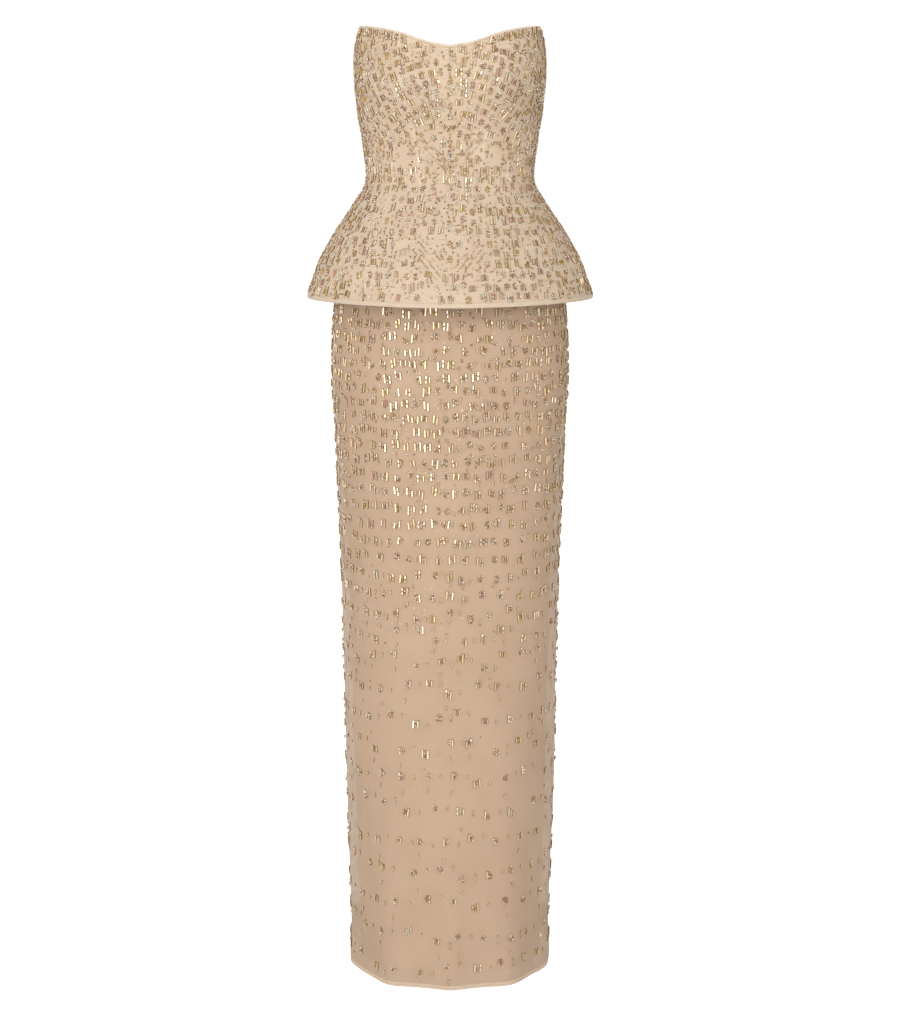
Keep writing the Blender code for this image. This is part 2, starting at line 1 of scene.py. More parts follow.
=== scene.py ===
"""Looks of a strapless bustier gown: cloth shells with seams and hems, a concealed zip, and rows of bugle
beads, seed beads and sequins, in a plain white studio.

Metres, +Z up, the gown's front faces -Y and the wearer's left is +X. The origin is the middle of the waist
seam. Angles are polar angles seen from above, in degrees: 0 at the centre front, 90 at the wearer's left, 180
at the centre back. The form's tables are the same as the part's, so every shell lies on its solids.
"""

import bisect
import math
import random
from collections import namedtuple
from itertools import product

import bpy
from mathutils import Matrix, Vector, noise


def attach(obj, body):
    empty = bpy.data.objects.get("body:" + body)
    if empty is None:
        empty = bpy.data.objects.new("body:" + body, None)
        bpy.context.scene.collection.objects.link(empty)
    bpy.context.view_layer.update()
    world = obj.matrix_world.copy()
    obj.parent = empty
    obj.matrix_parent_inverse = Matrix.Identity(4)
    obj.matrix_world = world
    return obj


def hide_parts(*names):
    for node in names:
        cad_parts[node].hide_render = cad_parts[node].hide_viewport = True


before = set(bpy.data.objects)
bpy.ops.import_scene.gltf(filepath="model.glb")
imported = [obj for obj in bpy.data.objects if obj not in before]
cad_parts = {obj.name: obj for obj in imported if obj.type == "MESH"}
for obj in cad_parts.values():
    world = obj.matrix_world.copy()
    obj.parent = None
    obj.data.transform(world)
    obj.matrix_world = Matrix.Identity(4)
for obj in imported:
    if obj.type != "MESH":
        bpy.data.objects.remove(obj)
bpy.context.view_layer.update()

# Form of the garment, as in the part
Section = namedtuple("Section", "height half_width front back power", defaults=[2.2])
Spacing = namedtuple("Spacing", "height gap")
EdgePoint = namedtuple("EdgePoint", "angle height")
SeamPoint = namedtuple("SeamPoint", "share angle")
Fold = namedtuple("Fold", "angle spread push start")
Crease = namedtuple("Crease", "angle spread push top bottom drift")


def rows_of(kind, table):
    return [kind(*row) for row in table]


BODICE_SECTIONS = rows_of(Section, (
    (0.2170, 0.1308, 0.0940, 0.0900), (0.2000, 0.1318, 0.0990, 0.0900), (0.1850, 0.1330, 0.1030, 0.0900),
    (0.1700, 0.1342, 0.1058, 0.0896), (0.1550, 0.1342, 0.1068, 0.0890), (0.1380, 0.1336, 0.1064, 0.0884),
    (0.1160, 0.1312, 0.1036, 0.0872), (0.0940, 0.1290, 0.1000, 0.0860), (0.0715, 0.1250, 0.0964, 0.0844),
    (0.0490, 0.1218, 0.0933, 0.0828), (0.0270, 0.1190, 0.0908, 0.0810), (0.0120, 0.1180, 0.0896, 0.0800),
    (0.0000, 0.1192, 0.0900, 0.0804),
))
PEPLUM_SECTIONS = rows_of(Section, (
    (0.0000, 0.1192, 0.0900, 0.0804, 2.20), (-0.0070, 0.1222, 0.0922, 0.0828, 2.18),
    (-0.0180, 0.1292, 0.0972, 0.0888, 2.15), (-0.0410, 0.1442, 0.1076, 0.1028, 2.10),
    (-0.0635, 0.1600, 0.1186, 0.1178, 2.05), (-0.0860, 0.1732, 0.1286, 0.1308, 2.02),
    (-0.1090, 0.1862, 0.1376, 0.1438, 2.00), (-0.1320, 0.1945, 0.1442, 0.1538, 2.00),
    (-0.1550, 0.2032, 0.1508, 0.1618, 2.00), (-0.1660, 0.2057, 0.1540, 0.1650, 2.00),
))
SKIRT_SECTIONS = rows_of(Section, (
    (0.0000, 0.1168, 0.0876, 0.0780), (-0.0120, 0.1200, 0.0902, 0.0808), (-0.0400, 0.1300, 0.0958, 0.0908),
    (-0.0800, 0.1450, 0.1030, 0.1040), (-0.1200, 0.1565, 0.1090, 0.1170), (-0.1600, 0.1640, 0.1140, 0.1270),
    (-0.2240, 0.1690, 0.1190, 0.1330), (-0.2810, 0.1702, 0.1215, 0.1330), (-0.3400, 0.1664, 0.1235, 0.1310),
    (-0.4570, 0.1626, 0.1275, 0.1290), (-0.5500, 0.1592, 0.1310, 0.1280), (-0.6900, 0.1568, 0.1355, 0.1290),
    (-0.8800, 0.1535, 0.1430, 0.1340), (-1.0065, 0.1503, 0.1468, 0.1375), (-1.1013, 0.1478, 0.1495, 0.1400),
    (-1.1480, 0.1500, 0.1505, 0.1420),
))
LINING_SPACING = rows_of(Spacing, (
    (0.0, 0.0007), (-0.04, 0.0009), (-0.12, 0.0014), (-0.20, 0.0022),
    (-0.30, 0.0045), (-0.45, 0.0085), (-0.60, 0.0110), (-1.148, 0.0120),
))
NECKLINE = rows_of(EdgePoint, (
    (0.0, 0.1880), (14.0, 0.1922), (26.0, 0.1985), (37.0, 0.2055), (52.0, 0.2118),
    (66.0, 0.2155), (75.0, 0.2166), (80.0, 0.2095), (86.0, 0.1960), (93.0, 0.1830),
    (105.0, 0.1700), (125.0, 0.1580), (150.0, 0.1500), (180.0, 0.1480),
))
PRINCESS_SEAM = rows_of(SeamPoint, (
    (0.0, 26.0), (0.25, 27.5), (0.45, 31.0), (0.65, 35.0), (1.0, 38.0),
))
UNDERARM_SEAM = rows_of(SeamPoint, (
    (0.0, 47.5), (0.25, 50.0), (0.5, 52.5), (0.7, 55.0), (1.0, 61.0),
))
PEPLUM_SEAM = rows_of(SeamPoint, (
    (0.0, 47.5), (0.2, 43.5), (0.4, 38.2), (0.7, 33.5), (1.0, 30.8),
))
OVERLAY_FOLDS = rows_of(Fold, (
    (0.0, 9.0, 0.0075, -0.80), (33.0, 10.0, 0.0090, -0.66), (-33.0, 10.0, 0.0090, -0.70),
    (66.0, 8.0, 0.0035, -0.55), (-72.0, 8.0, 0.0030, -0.72), (108.0, 12.0, 0.0050, -0.75),
    (-106.0, 12.0, 0.0050, -0.80), (144.0, 13.0, 0.0060, -0.70), (-142.0, 13.0, 0.0060, -0.75),
))
FOLD_GROWTH = 1.4
CUP_PUSH = 0.020
CUP_CENTRE_X = 0.072
CUP_CENTRE_HEIGHT = 0.137
CUP_SPREAD_X = 0.046
CUP_SPREAD_UP = 0.052
CUP_SPREAD_DOWN = 0.050
CUP_FADE_COSINE = 0.55
SKIRT_HEM = -1.148
LINING_HEM = -1.136
PEPLUM_HEM_FRONT = -0.166
PEPLUM_HEM_SIDE_RISE = 0.004
SIDE_SEAM = 90.0
SKIRT_SIDE_SEAM = 80.0
CENTRE_BACK = 180.0
OVERLAY_WALL = 0.0010
LIP_HALF_GAP = 0.0011
LIP_CLOSED_HALF_GAP = 0.00015
LIP_CLOSED_BELOW = 0.119
LIP_OPEN_ABOVE = 0.130
ZIP_END = -0.19
SLIDER_HEIGHT = 0.137

# Fine creases of the sheer overlay, which only the shell shows
OVERLAY_CREASES = rows_of(Crease, (
    (41.0, 1.6, 0.0012, -0.80, -1.10, 3.0), (47.0, 1.2, 0.0010, -0.72, -0.98, -2.0),
    (53.0, 1.8, 0.0014, -0.86, -1.148, 4.0), (60.0, 1.3, 0.0012, -0.70, -1.06, 2.0),
    (68.0, 1.3, 0.0018, -0.66, -0.98, 3.0), (74.5, 1.1, 0.0016, -0.74, -1.04, -2.0),
    (79.0, 1.2, 0.0018, -0.70, -1.00, 2.5), (-56.0, 1.6, 0.0010, -0.84, -1.12, -2.0),
    (-64.0, 1.4, 0.0010, -0.76, -1.02, 1.5), (12.0, 2.0, 0.0008, -0.98, -1.148, 1.0),
    (-14.0, 2.0, 0.0008, -1.00, -1.148, -1.5), (97.0, 1.7, 0.0012, -0.80, -1.12, 2.0),
    (121.0, 1.5, 0.0012, -0.74, -1.05, -3.0), (160.0, 1.8, 0.0010, -0.85, -1.148, 2.0),
    (-98.0, 1.6, 0.0012, -0.82, -1.10, -2.0), (-124.0, 1.5, 0.0010, -0.78, -1.00, 3.0),
    (-158.0, 1.8, 0.0010, -0.88, -1.148, -2.0),
))

# Cloth of the shells
BODICE_WALL = 0.0020
PEPLUM_WALL = 0.0018
SHEER_WALL = 0.0004
LINING_WALL = 0.0008
SEAM_DEPTH = 0.00045
SEAM_WIDTH = 0.0008
SEAM_MARK = 0.7
SEAM_MARK_WIDTH = 0.0013
PUCKER_HEIGHT = 0.00012
PUCKER_WIDTH = 0.005
PUCKER_PITCH = 0.009
CLOTH_WAVE = 0.00035
NEAR_SEAMS = (0.0005, 0.0011, 0.0020, 0.0036, 0.0060)
EDGE_CALM = 20.0
NORMAL_STEP = 0.4
HEIGHT_STEP = 0.001

# Edges
BINDING_HEIGHT = 0.0037
BINDING_WALL = 0.0026
BINDING_PROUD = 0.0003
BINDING_POWER = 3.2
BINDING_STEPS = 420
BINDING_SIDES = 14
PEPLUM_BAND = 0.0072
SHEER_HEM = 0.021
HEM_FOLD = 0.0062
SIDE_HEM = 0.070
SIDE_HEM_CENTRE = 88.0
SIDE_HEM_REACH = 60.0
LINING_ALLOWANCE = 0.032

# Beads, in metres
BAR_WIDTH = 0.0033
BAR_LENGTH = 0.0118
BAR_THICKNESS = 0.0016
SEED_RADIUS = 0.0015
SEQUIN_RADIUS = 0.0021
SEQUIN_HOLE = 0.0007
SEQUIN_WALL = 0.0003
# Painted highlight level along the top of thin bugles and drops
ROD_PAINTED_HIGHLIGHT = 1.35
DASH_LENGTH = 0.0092
DASH_RADIUS = 0.00085
DROP_LENGTH = 0.0062
PAIR_HALF_SPREAD = 0.0037
BAR_BESIDE = 0.0030
SEEDS_BESIDE = 0.0029
ROSETTE_STRETCH = 1.4
SHEAF_PITCH = 0.0023
BAR_TILT = 5.0
THIN_TILT = 6.0
SEED_TILT = 14.0
LOWEST_BEAD = 0.010

# Sewing and zip
STITCH_RADIUS = 0.00022
STITCH_LENGTH = 0.0030
THREAD_TINT = (0.78, 0.66, 0.50)
COIL_TINT = (0.66, 0.52, 0.38)
PART_LINING_WALL = 0.0010
TAPE_GAP = 0.0006
TAPE_WALL = 0.0008
TAPE_SETTLE = 0.02
COIL_PITCH = 0.00062
COIL_TOP = 0.1442
SLIDER_REACH = 0.0056
TOOTH_REACH = 0.0030
TOOTH_CROSSING = 0.0010
TOOTH_CLEARANCE = 0.0003
TOOTH_HEIGHT = 0.00070
TOOTH_THICKNESS = 0.0009
TOOTH_LIFT = 0.00005


class Curve:
    """Smooth curve through a table's rows that never overshoots them."""

    def __init__(self, rows, key, column):
        rows = sorted(rows, key=lambda row: getattr(row, key))
        self.keys = [getattr(row, key) for row in rows]
        self.values = [getattr(row, column) for row in rows]
        last = len(rows) - 1
        steps = [
            (self.values[i + 1] - self.values[i]) / (self.keys[i + 1] - self.keys[i])
            for i in range(last)
        ]
        self.slopes = [steps[0]]
        for before, after in zip(steps, steps[1:]):
            turns = before * after <= 0.0
            self.slopes.append(0.0 if turns else 2.0 * before * after / (before + after))
        self.slopes.append(steps[-1])

    def __call__(self, at):
        if at <= self.keys[0]:
            return self.values[0]
        if at >= self.keys[-1]:
            return self.values[-1]
        i = bisect.bisect_right(self.keys, at) - 1
        span = self.keys[i + 1] - self.keys[i]
        t = (at - self.keys[i]) / span
        start = (1.0 + 2.0 * t) * (1.0 - t) ** 2 * self.values[i] + t * (1.0 - t) ** 2 * span * self.slopes[i]
        end = t * t * (3.0 - 2.0 * t) * self.values[i + 1] + t * t * (t - 1.0) * span * self.slopes[i + 1]
        return start + end


class Form:
    """A garment's outer surface from its level sections."""

    def __init__(self, sections):
        columns = ("half_width", "front", "back", "power")
        self.curves = {column: Curve(sections, "height", column) for column in columns}

    def point(self, angle, height):
        across = math.sin(math.radians(angle))
        forward = math.cos(math.radians(angle))
        half_width = self.curves["half_width"](height)
        depth = self.curves["front" if forward >= 0.0 else "back"](height)
        power = self.curves["power"](height)
        radius = (abs(across / half_width) ** power + abs(forward / depth) ** power) ** (-1.0 / power)
        return Vector((radius * across, -radius * forward, height))


BODICE_FORM = Form(BODICE_SECTIONS)
PEPLUM_FORM = Form(PEPLUM_SECTIONS)
SKIRT_FORM = Form(SKIRT_SECTIONS)
NECKLINE_CURVE = Curve(NECKLINE, "angle", "height")
PRINCESS_CURVE = Curve(PRINCESS_SEAM, "share", "angle")
UNDERARM_CURVE = Curve(UNDERARM_SEAM, "share", "angle")
PEPLUM_SEAM_CURVE = Curve(PEPLUM_SEAM, "share", "angle")
LINING_GAP = Curve(LINING_SPACING, "height", "gap")


def blend(low, high, share):
    return low + (high - low) * share


def ease(share):
    share = max(0.0, min(1.0, share))
    return share * share * (3.0 - 2.0 * share)


def bell(distance, width):
    return math.exp(-((distance / width) ** 2))


def steps(first, beyond, pitch):
    while first < beyond:
        yield first
        first += pitch


def ring(sides, radius, turn=0.0):
    """Points round a circle. turn is how far the first one is on towards the second."""
    angles = [2.0 * math.pi * (i + turn) / sides for i in range(sides)]
    return [(radius * math.cos(angle), radius * math.sin(angle)) for angle in angles]


def darker(colour, share):
    return tuple(value * share for value in colour)


def turn_between(first, second):
    """Signed angle from the second to the first, in degrees."""
    return (first - second + 180.0) % 360.0 - 180.0


def cup_push(angle, x, height):
    fade = math.sin(0.5 * math.pi * max(0.0, min(1.0, math.cos(math.radians(angle)) / CUP_FADE_COSINE)))
    spread = CUP_SPREAD_UP if height > CUP_CENTRE_HEIGHT else CUP_SPREAD_DOWN
    cups = bell(x - CUP_CENTRE_X, CUP_SPREAD_X) + bell(x + CUP_CENTRE_X, CUP_SPREAD_X)
    return CUP_PUSH * fade * bell(height - CUP_CENTRE_HEIGHT, spread) * cups


def bodice_point(angle, height):
    point = BODICE_FORM.point(angle, height)
    point.y -= cup_push(angle, point.x, height)
    return point


def peplum_point(angle, height):
    return PEPLUM_FORM.point(angle, height)


def plain_skirt_point(angle, height):
    return SKIRT_FORM.point(angle, height)


def overlay_point(angle, height):
    point = plain_skirt_point(angle, height)
    push = 0.0
    for fold in OVERLAY_FOLDS:
        growth = ease((fold.start - height) / (fold.start - SKIRT_HEM)) ** FOLD_GROWTH
        push += fold.push * growth * bell(turn_between(angle, fold.angle), fold.spread)
    return point + Vector((point.x, point.y, 0.0)).normalized() * push


def creased_overlay_point(angle, height):
    """The overlay with its fine creases, which run out at both ends and drift sideways as they fall."""
    point = overlay_point(angle, height)
    push = 0.0
    for crease in OVERLAY_CREASES:
        along = (crease.top - height) / (crease.top - crease.bottom)
        if along <= 0.0 or (along >= 1.0 and crease.bottom > SKIRT_HEM):
            continue
        strength = math.sin(math.pi * min(1.0, along)) if crease.bottom > SKIRT_HEM else ease(along)
        centre = crease.angle + crease.drift * along
        push += crease.push * strength * bell(turn_between(angle, centre), crease.spread)
    return point + Vector((point.x, point.y, 0.0)).normalized() * push


def level_normal(surface, angle, height):
    along = surface(angle + NORMAL_STEP, height) - surface(angle - NORMAL_STEP, height)
    return Vector((along.y, -along.x, 0.0)).normalized()


def moved_out(surface, angle, height, distance):
    return surface(angle, height) + level_normal(surface, angle, height) * distance


def lining_point(angle, height):
    return moved_out(plain_skirt_point, angle, height, -OVERLAY_WALL - LINING_GAP(height))


def neckline_height(angle):
    return NECKLINE_CURVE(abs(turn_between(angle, 0.0)))


def peplum_hem_height(angle):
    return PEPLUM_HEM_FRONT + PEPLUM_HEM_SIDE_RISE * math.sin(math.radians(angle)) ** 2


def bodice_height(angle, share):
    return blend(0.0, neckline_height(angle) - BINDING_HEIGHT, share)


def peplum_height(angle, share):
    return blend(0.0, peplum_hem_height(angle), share)


def skirt_height(angle, share):
    return blend(0.0, SKIRT_HEM, share)


def lining_height(angle, share):
    return blend(0.0, LINING_HEM, share)


def lip_half_gap(height):
    share = (height - LIP_CLOSED_BELOW) / (LIP_OPEN_ABOVE - LIP_CLOSED_BELOW)
    return blend(LIP_CLOSED_HALF_GAP, LIP_HALF_GAP, max(0.0, min(1.0, share)))


# Meshes


def new_object(name, vertices, faces, materials, smooth=True):
    mesh = bpy.data.meshes.new(name)
    mesh.from_pydata([tuple(v) for v in vertices], [], faces)
    mesh.validate()
    for material in materials:
        mesh.materials.append(material)
    if smooth:
        mesh.shade_smooth()
    item = bpy.data.objects.new(name, mesh)
    bpy.context.scene.collection.objects.link(item)
    return item


def closed_shell(name, outer, inner, places, edge, materials, tube):
    """A thin closed cloth shell between an outer and an inner grid of points.

    Rows run along the cloth's height and columns round the body towards the wearer's left. A tube has its
    last column joined to its first. Cloth coordinates, in metres, are kept in the UV map named cloth.
    """
    rows, columns = len(outer), len(outer[0])
    span = columns if tube else columns - 1
    downwards = outer[0][0].z > outer[-1][0].z
    faces, coordinates = [], []

    def add(corners):
        """A face from its corners: layer (0 outside, 1 inside), row and column."""
        if downwards:
            corners = corners[::-1]
        faces.append([(layer * rows + row) * columns + column % columns for layer, row, column in corners])
        coordinates.extend(places[row][column] for layer, row, column in corners)

    def join(first, second):
        add([(0, *first), (0, *second), (1, *second), (1, *first)])

    for row in range(rows - 1):
        for column in range(span):
            corners = [(row, column), (row, column + 1), (row + 1, column + 1), (row + 1, column)]
            add([(0, *corner) for corner in corners])
            add([(1, *corner) for corner in reversed(corners)])
    inner_faces = range(1, len(faces), 2)
    for column in range(span):
        join((0, column + 1), (0, column))
        join((rows - 1, column), (rows - 1, column + 1))
    if not tube:
        for row in range(rows - 1):
            join((row, 0), (row + 1, 0))
            join((row + 1, columns - 1), (row, columns - 1))
    vertices = [point for grid in (outer, inner) for row in grid for point in row]
    item = new_object(name, vertices, faces, materials)
    mesh = item.data
    layer = mesh.uv_layers.new(name="cloth")
    layer.data.foreach_set("uv", [value for pair in coordinates for value in pair])
    if len(materials) > 1:
        for index in inner_faces:
            mesh.polygons[index].material_index = 1
    marks = [value for row in edge for value in row]
    attribute = mesh.attributes.new("edge", "FLOAT", "POINT")
    attribute.data.foreach_set("value", marks + marks)
    mesh.set_sharp_from_angle(angle=math.radians(60.0))
    return item


def shared_columns(edges, spacing, near):
    """Panels with shares across them, fine beside each seam and even between."""
    shares = []
    for panel, width in enumerate(edges):
        beside = [distance / width for distance in near]
        count = max(2, round((width - 2.0 * near[-1]) / spacing))
        middle = [blend(beside[-1], 1.0 - beside[-1], i / count) for i in range(1, count)]
        inside = [0.0] + beside + middle + [1.0 - share for share in reversed(beside)]
        shares += [(panel, share) for share in inside]
    return shares


def cloth_relief(distance, height, seed):
    """Outward offset of the cloth near a seam: the seam's trough and the small puckers beside it."""
    trough = -SEAM_DEPTH * bell(distance, SEAM_WIDTH)
    ripple = noise.noise(Vector((height / PUCKER_PITCH, seed, 0.5)))
    return trough + PUCKER_HEIGHT * ripple * bell(abs(distance) - 2.0 * SEAM_WIDTH, PUCKER_WIDTH)


def cloth_wave(angle, height, size):
    """Soft unevenness of the cloth."""
    place = Vector((math.sin(math.radians(angle)) * 4.0, math.cos(math.radians(angle)) * 4.0, height * 22.0))
    return size * noise.noise(place)


def no_offset(share, height, angle):
    return 0.0


def no_mark(angle, height, distance):
    return 0.0


def build_shell(name, surface, height_at, seams, shares, wall_at, materials, spacing,
                near=NEAR_SEAMS, tube=True, wave=CLOTH_WAVE, relief=1.0, seed=0,
                profile_at=no_offset, edge_at=no_mark, gap_at=None):
    """A cloth shell all round the body. seams(share) lists seam angles from the centre back round to it."""
    middle = seams(0.5)
    radius = surface(90.0, height_at(90.0, 0.5)).x
    widths = [math.radians(high - low) * radius for low, high in zip(middle, middle[1:])]
    last = len(widths) - 1
    columns = shared_columns(widths, spacing, near)
    if not tube:
        columns.append((last, 1.0))
    outer, inner, places, edge = [], [], [], []
    for share in shares:
        angles = seams(share)
        if gap_at is not None:
            angles = [angles[0] + gap_at(share), *angles[1:-1], angles[-1] - gap_at(share)]
        for grid in (outer, inner, places, edge):
            grid.append([])
        for panel, across in columns:
            low, high = angles[panel], angles[panel + 1]
            angle = blend(low, high, across)
            height = height_at(angle, share)
            reach = math.radians(high - low) * surface(angle, height).xy.length
            distance = min(across, 1.0 - across) * reach
            ripple_seed = panel + (0 if across < 0.5 else 1) + seed
            out = relief * cloth_relief(distance, height, ripple_seed) + cloth_wave(angle, height, wave)
            out *= min(1.0, EDGE_CALM * share) * min(1.0, EDGE_CALM * (1.0 - share))
            out += profile_at(share, height, angle)
            normal = level_normal(surface, angle, height)
            outer[-1].append(surface(angle, height) + normal * out)
            inner[-1].append(outer[-1][-1] - normal * wall_at(share, height, angle))
            edge[-1].append(edge_at(angle, height, distance))
        round_row = outer[-1] + outer[-1][:1] if tube else outer[-1]
        length = 0.0
        for before, point in zip(round_row[:1] + round_row, round_row):
            length += (point - before).length
            places[-1].append((length, point.z))
    return closed_shell(name, outer, inner, places, edge, materials, tube)


def even_shares(count, extra=()):
    return sorted({i / count for i in range(count + 1)} | set(extra))


# Materials


class Look:
    """The nodes of a material or the world, with short ways to add and link them."""

    def __init__(self, owner, shader="Principled BSDF"):
        owner.use_nodes = True
        self.tree = owner.node_tree
        self.shader = self.tree.nodes[shader]
        self.material = owner

    def link(self, value, socket):
        if isinstance(value, bpy.types.NodeSocket):
            self.tree.links.new(value, socket)
        else:
            socket.default_value = value

    def node(self, kind, inputs=None, output=0, **settings):
        made = self.tree.nodes.new("ShaderNode" + kind)
        for name, value in settings.items():
            setattr(made, name, value)
        for name, value in (inputs or {}).items():
            self.link(value, made.inputs[name])
        return made.outputs[output]

    def surface(self, **values):
        for name, value in values.items():
            self.link(value, self.shader.inputs[name.replace("_", " ").title().replace("Ior", "IOR")])

    def mix(self, share, low, high):
        made = self.tree.nodes.new("ShaderNodeMix")
        made.data_type = "RGBA"
        self.link(share, made.inputs[0])
        self.link(low if not isinstance(low, tuple) else (*low, 1.0), made.inputs[6])
        self.link(high if not isinstance(high, tuple) else (*high, 1.0), made.inputs[7])
        return made.outputs[2]

    def spread(self, value, low, high, to_low=0.0, to_high=1.0):
        inputs = {"Value": value, "From Min": low, "From Max": high, "To Min": to_low, "To Max": to_high}
        return self.node("MapRange", inputs)

    def times(self, first, second):
        made = self.tree.nodes.new("ShaderNodeMath")
        made.operation = "MULTIPLY"
        self.link(first, made.inputs[0])
        self.link(second, made.inputs[1])
        return made.outputs[0]

    def cloth_place(self):
        return self.node("UVMap", uv_map="cloth")

    def object_place(self):
        return self.node("TexCoord", output="Object")

    def noise(self, place, scale, detail=2.0):
        return self.node("TexNoise", {"Vector": place, "Scale": scale, "Detail": detail})

    def clouds(self, place, scale, detail, low=0.3, high=0.7):
        return self.spread(self.noise(place, scale, detail), low, high)

    def bump(self, height, distance, strength, normal=None):
        inputs = {"Height": height, "Distance": distance, "Strength": strength}
        if normal is not None:
            inputs["Normal"] = normal
        return self.node("Bump", inputs)


DOUBLED_CLOTH = 0.24


def net_cloth(name, colour, shade, edge_colour, roughness, sheen, net_scale, alpha=1.0):
    """Tulle: a fine net of cells over cloth, clouded in colour, paler along its folded edges."""
    look = Look(bpy.data.materials.new(name))
    place = look.cloth_place()
    clouded = look.mix(look.clouds(place, 14.0, 3.0, 0.35, 0.65), shade, colour)
    grain = look.noise(place, 160.0, 2.0)
    grained = look.mix(look.spread(grain, 0.3, 0.7, 0.0, 0.25), clouded, shade)
    mark = look.node("Attribute", attribute_name="edge", output=2)
    net = look.node("TexVoronoi", {"Vector": place, "Scale": net_scale}, voronoi_dimensions="2D",
                    feature="DISTANCE_TO_EDGE")
    strands = look.spread(net, 0.0, 0.18, 1.0, 0.0)
    netted = look.mix(look.times(strands, 0.22), grained, edge_colour)
    look.surface(base_color=look.mix(mark, netted, edge_colour), roughness=roughness, sheen_weight=sheen,
                 sheen_roughness=0.4)
    if alpha < 1.0:
        look.surface(alpha=look.spread(mark, 0.0, 1.0, alpha, min(0.97, alpha + DOUBLED_CLOTH)))
    soft = look.bump(look.noise(place, 45.0, 3.0), 0.0012, 0.35)
    look.surface(normal=look.bump(strands, 0.0003, 0.5, soft))
    return look.material


def woven_cloth(name, colour, shade, roughness, sheen, threads):
    """Smooth lining: fine threads both ways and soft clouding."""
    look = Look(bpy.data.materials.new(name))
    place = look.cloth_place()
    warp = look.node("TexWave", {"Vector": place, "Scale": threads}, bands_direction="X")
    weft = look.node("TexWave", {"Vector": place, "Scale": threads}, bands_direction="Y")
    black, white = (0.0, 0.0, 0.0), (1.0, 1.0, 1.0)
    weave = look.mix(0.5, look.mix(warp, black, white), look.mix(weft, black, white))
    mark = look.node("Attribute", attribute_name="edge", output=2)
    base = look.mix(look.clouds(place, 8.0, 3.0, 0.35, 0.65), shade, colour)
    paler = tuple(min(1.0, value * 1.12) for value in colour)
    look.surface(base_color=look.mix(mark, base, paler), roughness=roughness, sheen_weight=sheen)
    soft = look.bump(look.noise(place, 22.0, 3.0), 0.002, 0.3)
    look.surface(normal=look.bump(weave, 0.0001, 0.4, soft))
    return look.material


def satin(name, colour, roughness):
    """Satin binding with a faint rib across it."""
    look = Look(bpy.data.materials.new(name))
    place = look.object_place()
    tone = look.mix(look.clouds(place, 60.0, 2.0), darker(colour, 0.86), colour)
    look.surface(base_color=tone, roughness=roughness, sheen_weight=0.3,
                 normal=look.bump(look.noise(place, 900.0, 1.0), 0.0003, 0.35))
    return look.material


def bead_glass(name, roughness, metallic, coat):
    """Silver-lined glass: each bead's own tint with its painted shade and highlight, a clear coat and
    slightly uneven lining.
    """
    look = Look(bpy.data.materials.new(name))
    tint = look.node("Attribute", attribute_name="tint")
    place = look.object_place()
    brown = look.mix(0.25, tint, (0.26, 0.14, 0.05))
    uneven = look.spread(look.noise(place, 900.0), 0.3, 0.7, roughness * 0.7, roughness * 1.4)
    look.surface(base_color=look.mix(look.clouds(place, 500.0, 2.0), brown, tint), metallic=metallic,
                 roughness=uneven, specular_tint=(1.0, 0.93, 0.82, 1.0),
                 coat_weight=coat, coat_roughness=0.05)
    return look.material


def brass(name):
    look = Look(bpy.data.materials.new(name))
    place = look.object_place()
    cloud = look.clouds(place, 700.0, 3.0)
    look.surface(base_color=look.mix(cloud, (0.62, 0.47, 0.25), (0.80, 0.66, 0.42)), metallic=1.0,
                 roughness=look.spread(cloud, 0.0, 1.0, 0.16, 0.32),
                 normal=look.bump(look.noise(place, 2500.0, 2.0), 0.00005, 0.3))
    return look.material


def thread(name, colour):
    look = Look(bpy.data.materials.new(name))
    twist = look.noise(look.object_place(), 3000.0, 1.0)
    look.surface(base_color=look.mix(twist, darker(colour, 0.8), colour), roughness=0.55,
                 normal=look.bump(twist, 0.0001, 0.4))
    return look.material


BODICE_LOOK = net_cloth("bodice_tulle", (0.555, 0.438, 0.323), (0.505, 0.385, 0.272),
                        (0.65, 0.54, 0.42), 0.75, 0.25, 700.0)
PEPLUM_LOOK = net_cloth("peplum_tulle", (0.549, 0.442, 0.333), (0.50, 0.388, 0.283),
                        (0.525, 0.425, 0.32), 0.75, 0.25, 650.0)
SHEER_LOOK = net_cloth("sheer_tulle", (0.62, 0.46, 0.325), (0.58, 0.425, 0.295),
                       (0.66, 0.52, 0.39), 0.8, 0.3, 600.0, 0.54)
SHEER_HEM_LOOK = net_cloth("sheer_hem", (0.57, 0.405, 0.275), (0.53, 0.37, 0.25),
                           (0.66, 0.52, 0.39), 0.8, 0.3, 600.0, 0.72)
INSIDE_LOOK = woven_cloth("inner_cloth", (0.66, 0.48, 0.33), (0.60, 0.43, 0.29), 0.6, 0.2, 900.0)
LINING_LOOK = woven_cloth("skirt_lining", (0.68, 0.43, 0.256), (0.635, 0.395, 0.231), 0.5, 0.25, 900.0)
SATIN_LOOK = satin("satin_binding", (0.60, 0.485, 0.365), 0.5)
TAPE_LOOK = woven_cloth("tape_weave", (0.62, 0.47, 0.33), (0.56, 0.41, 0.28), 0.8, 0.1, 700.0)
BAR_LOOK = bead_glass("bugle_glass", 0.17, 0.45, 0.50)
SEED_LOOK = bead_glass("seed_glass", 0.22, 0.22, 0.50)
SEQUIN_LOOK = bead_glass("sequin_film", 0.35, 0.10, 0.2)
BRASS_LOOK = brass("zip_brass")
THREAD_LOOK = thread("sewing_thread", THREAD_TINT)
COIL_LOOK = thread("zip_coil", COIL_TINT)


# Cloth shells


def bodice_seams(share):
    left = [0.0, PRINCESS_CURVE(share), UNDERARM_CURVE(share), SIDE_SEAM, CENTRE_BACK]
    return [-angle for angle in reversed(left[1:])] + left


def peplum_seams(share):
    seam = PEPLUM_SEAM_CURVE(share)
    return [-CENTRE_BACK, -SIDE_SEAM, -seam, seam, SIDE_SEAM, CENTRE_BACK]


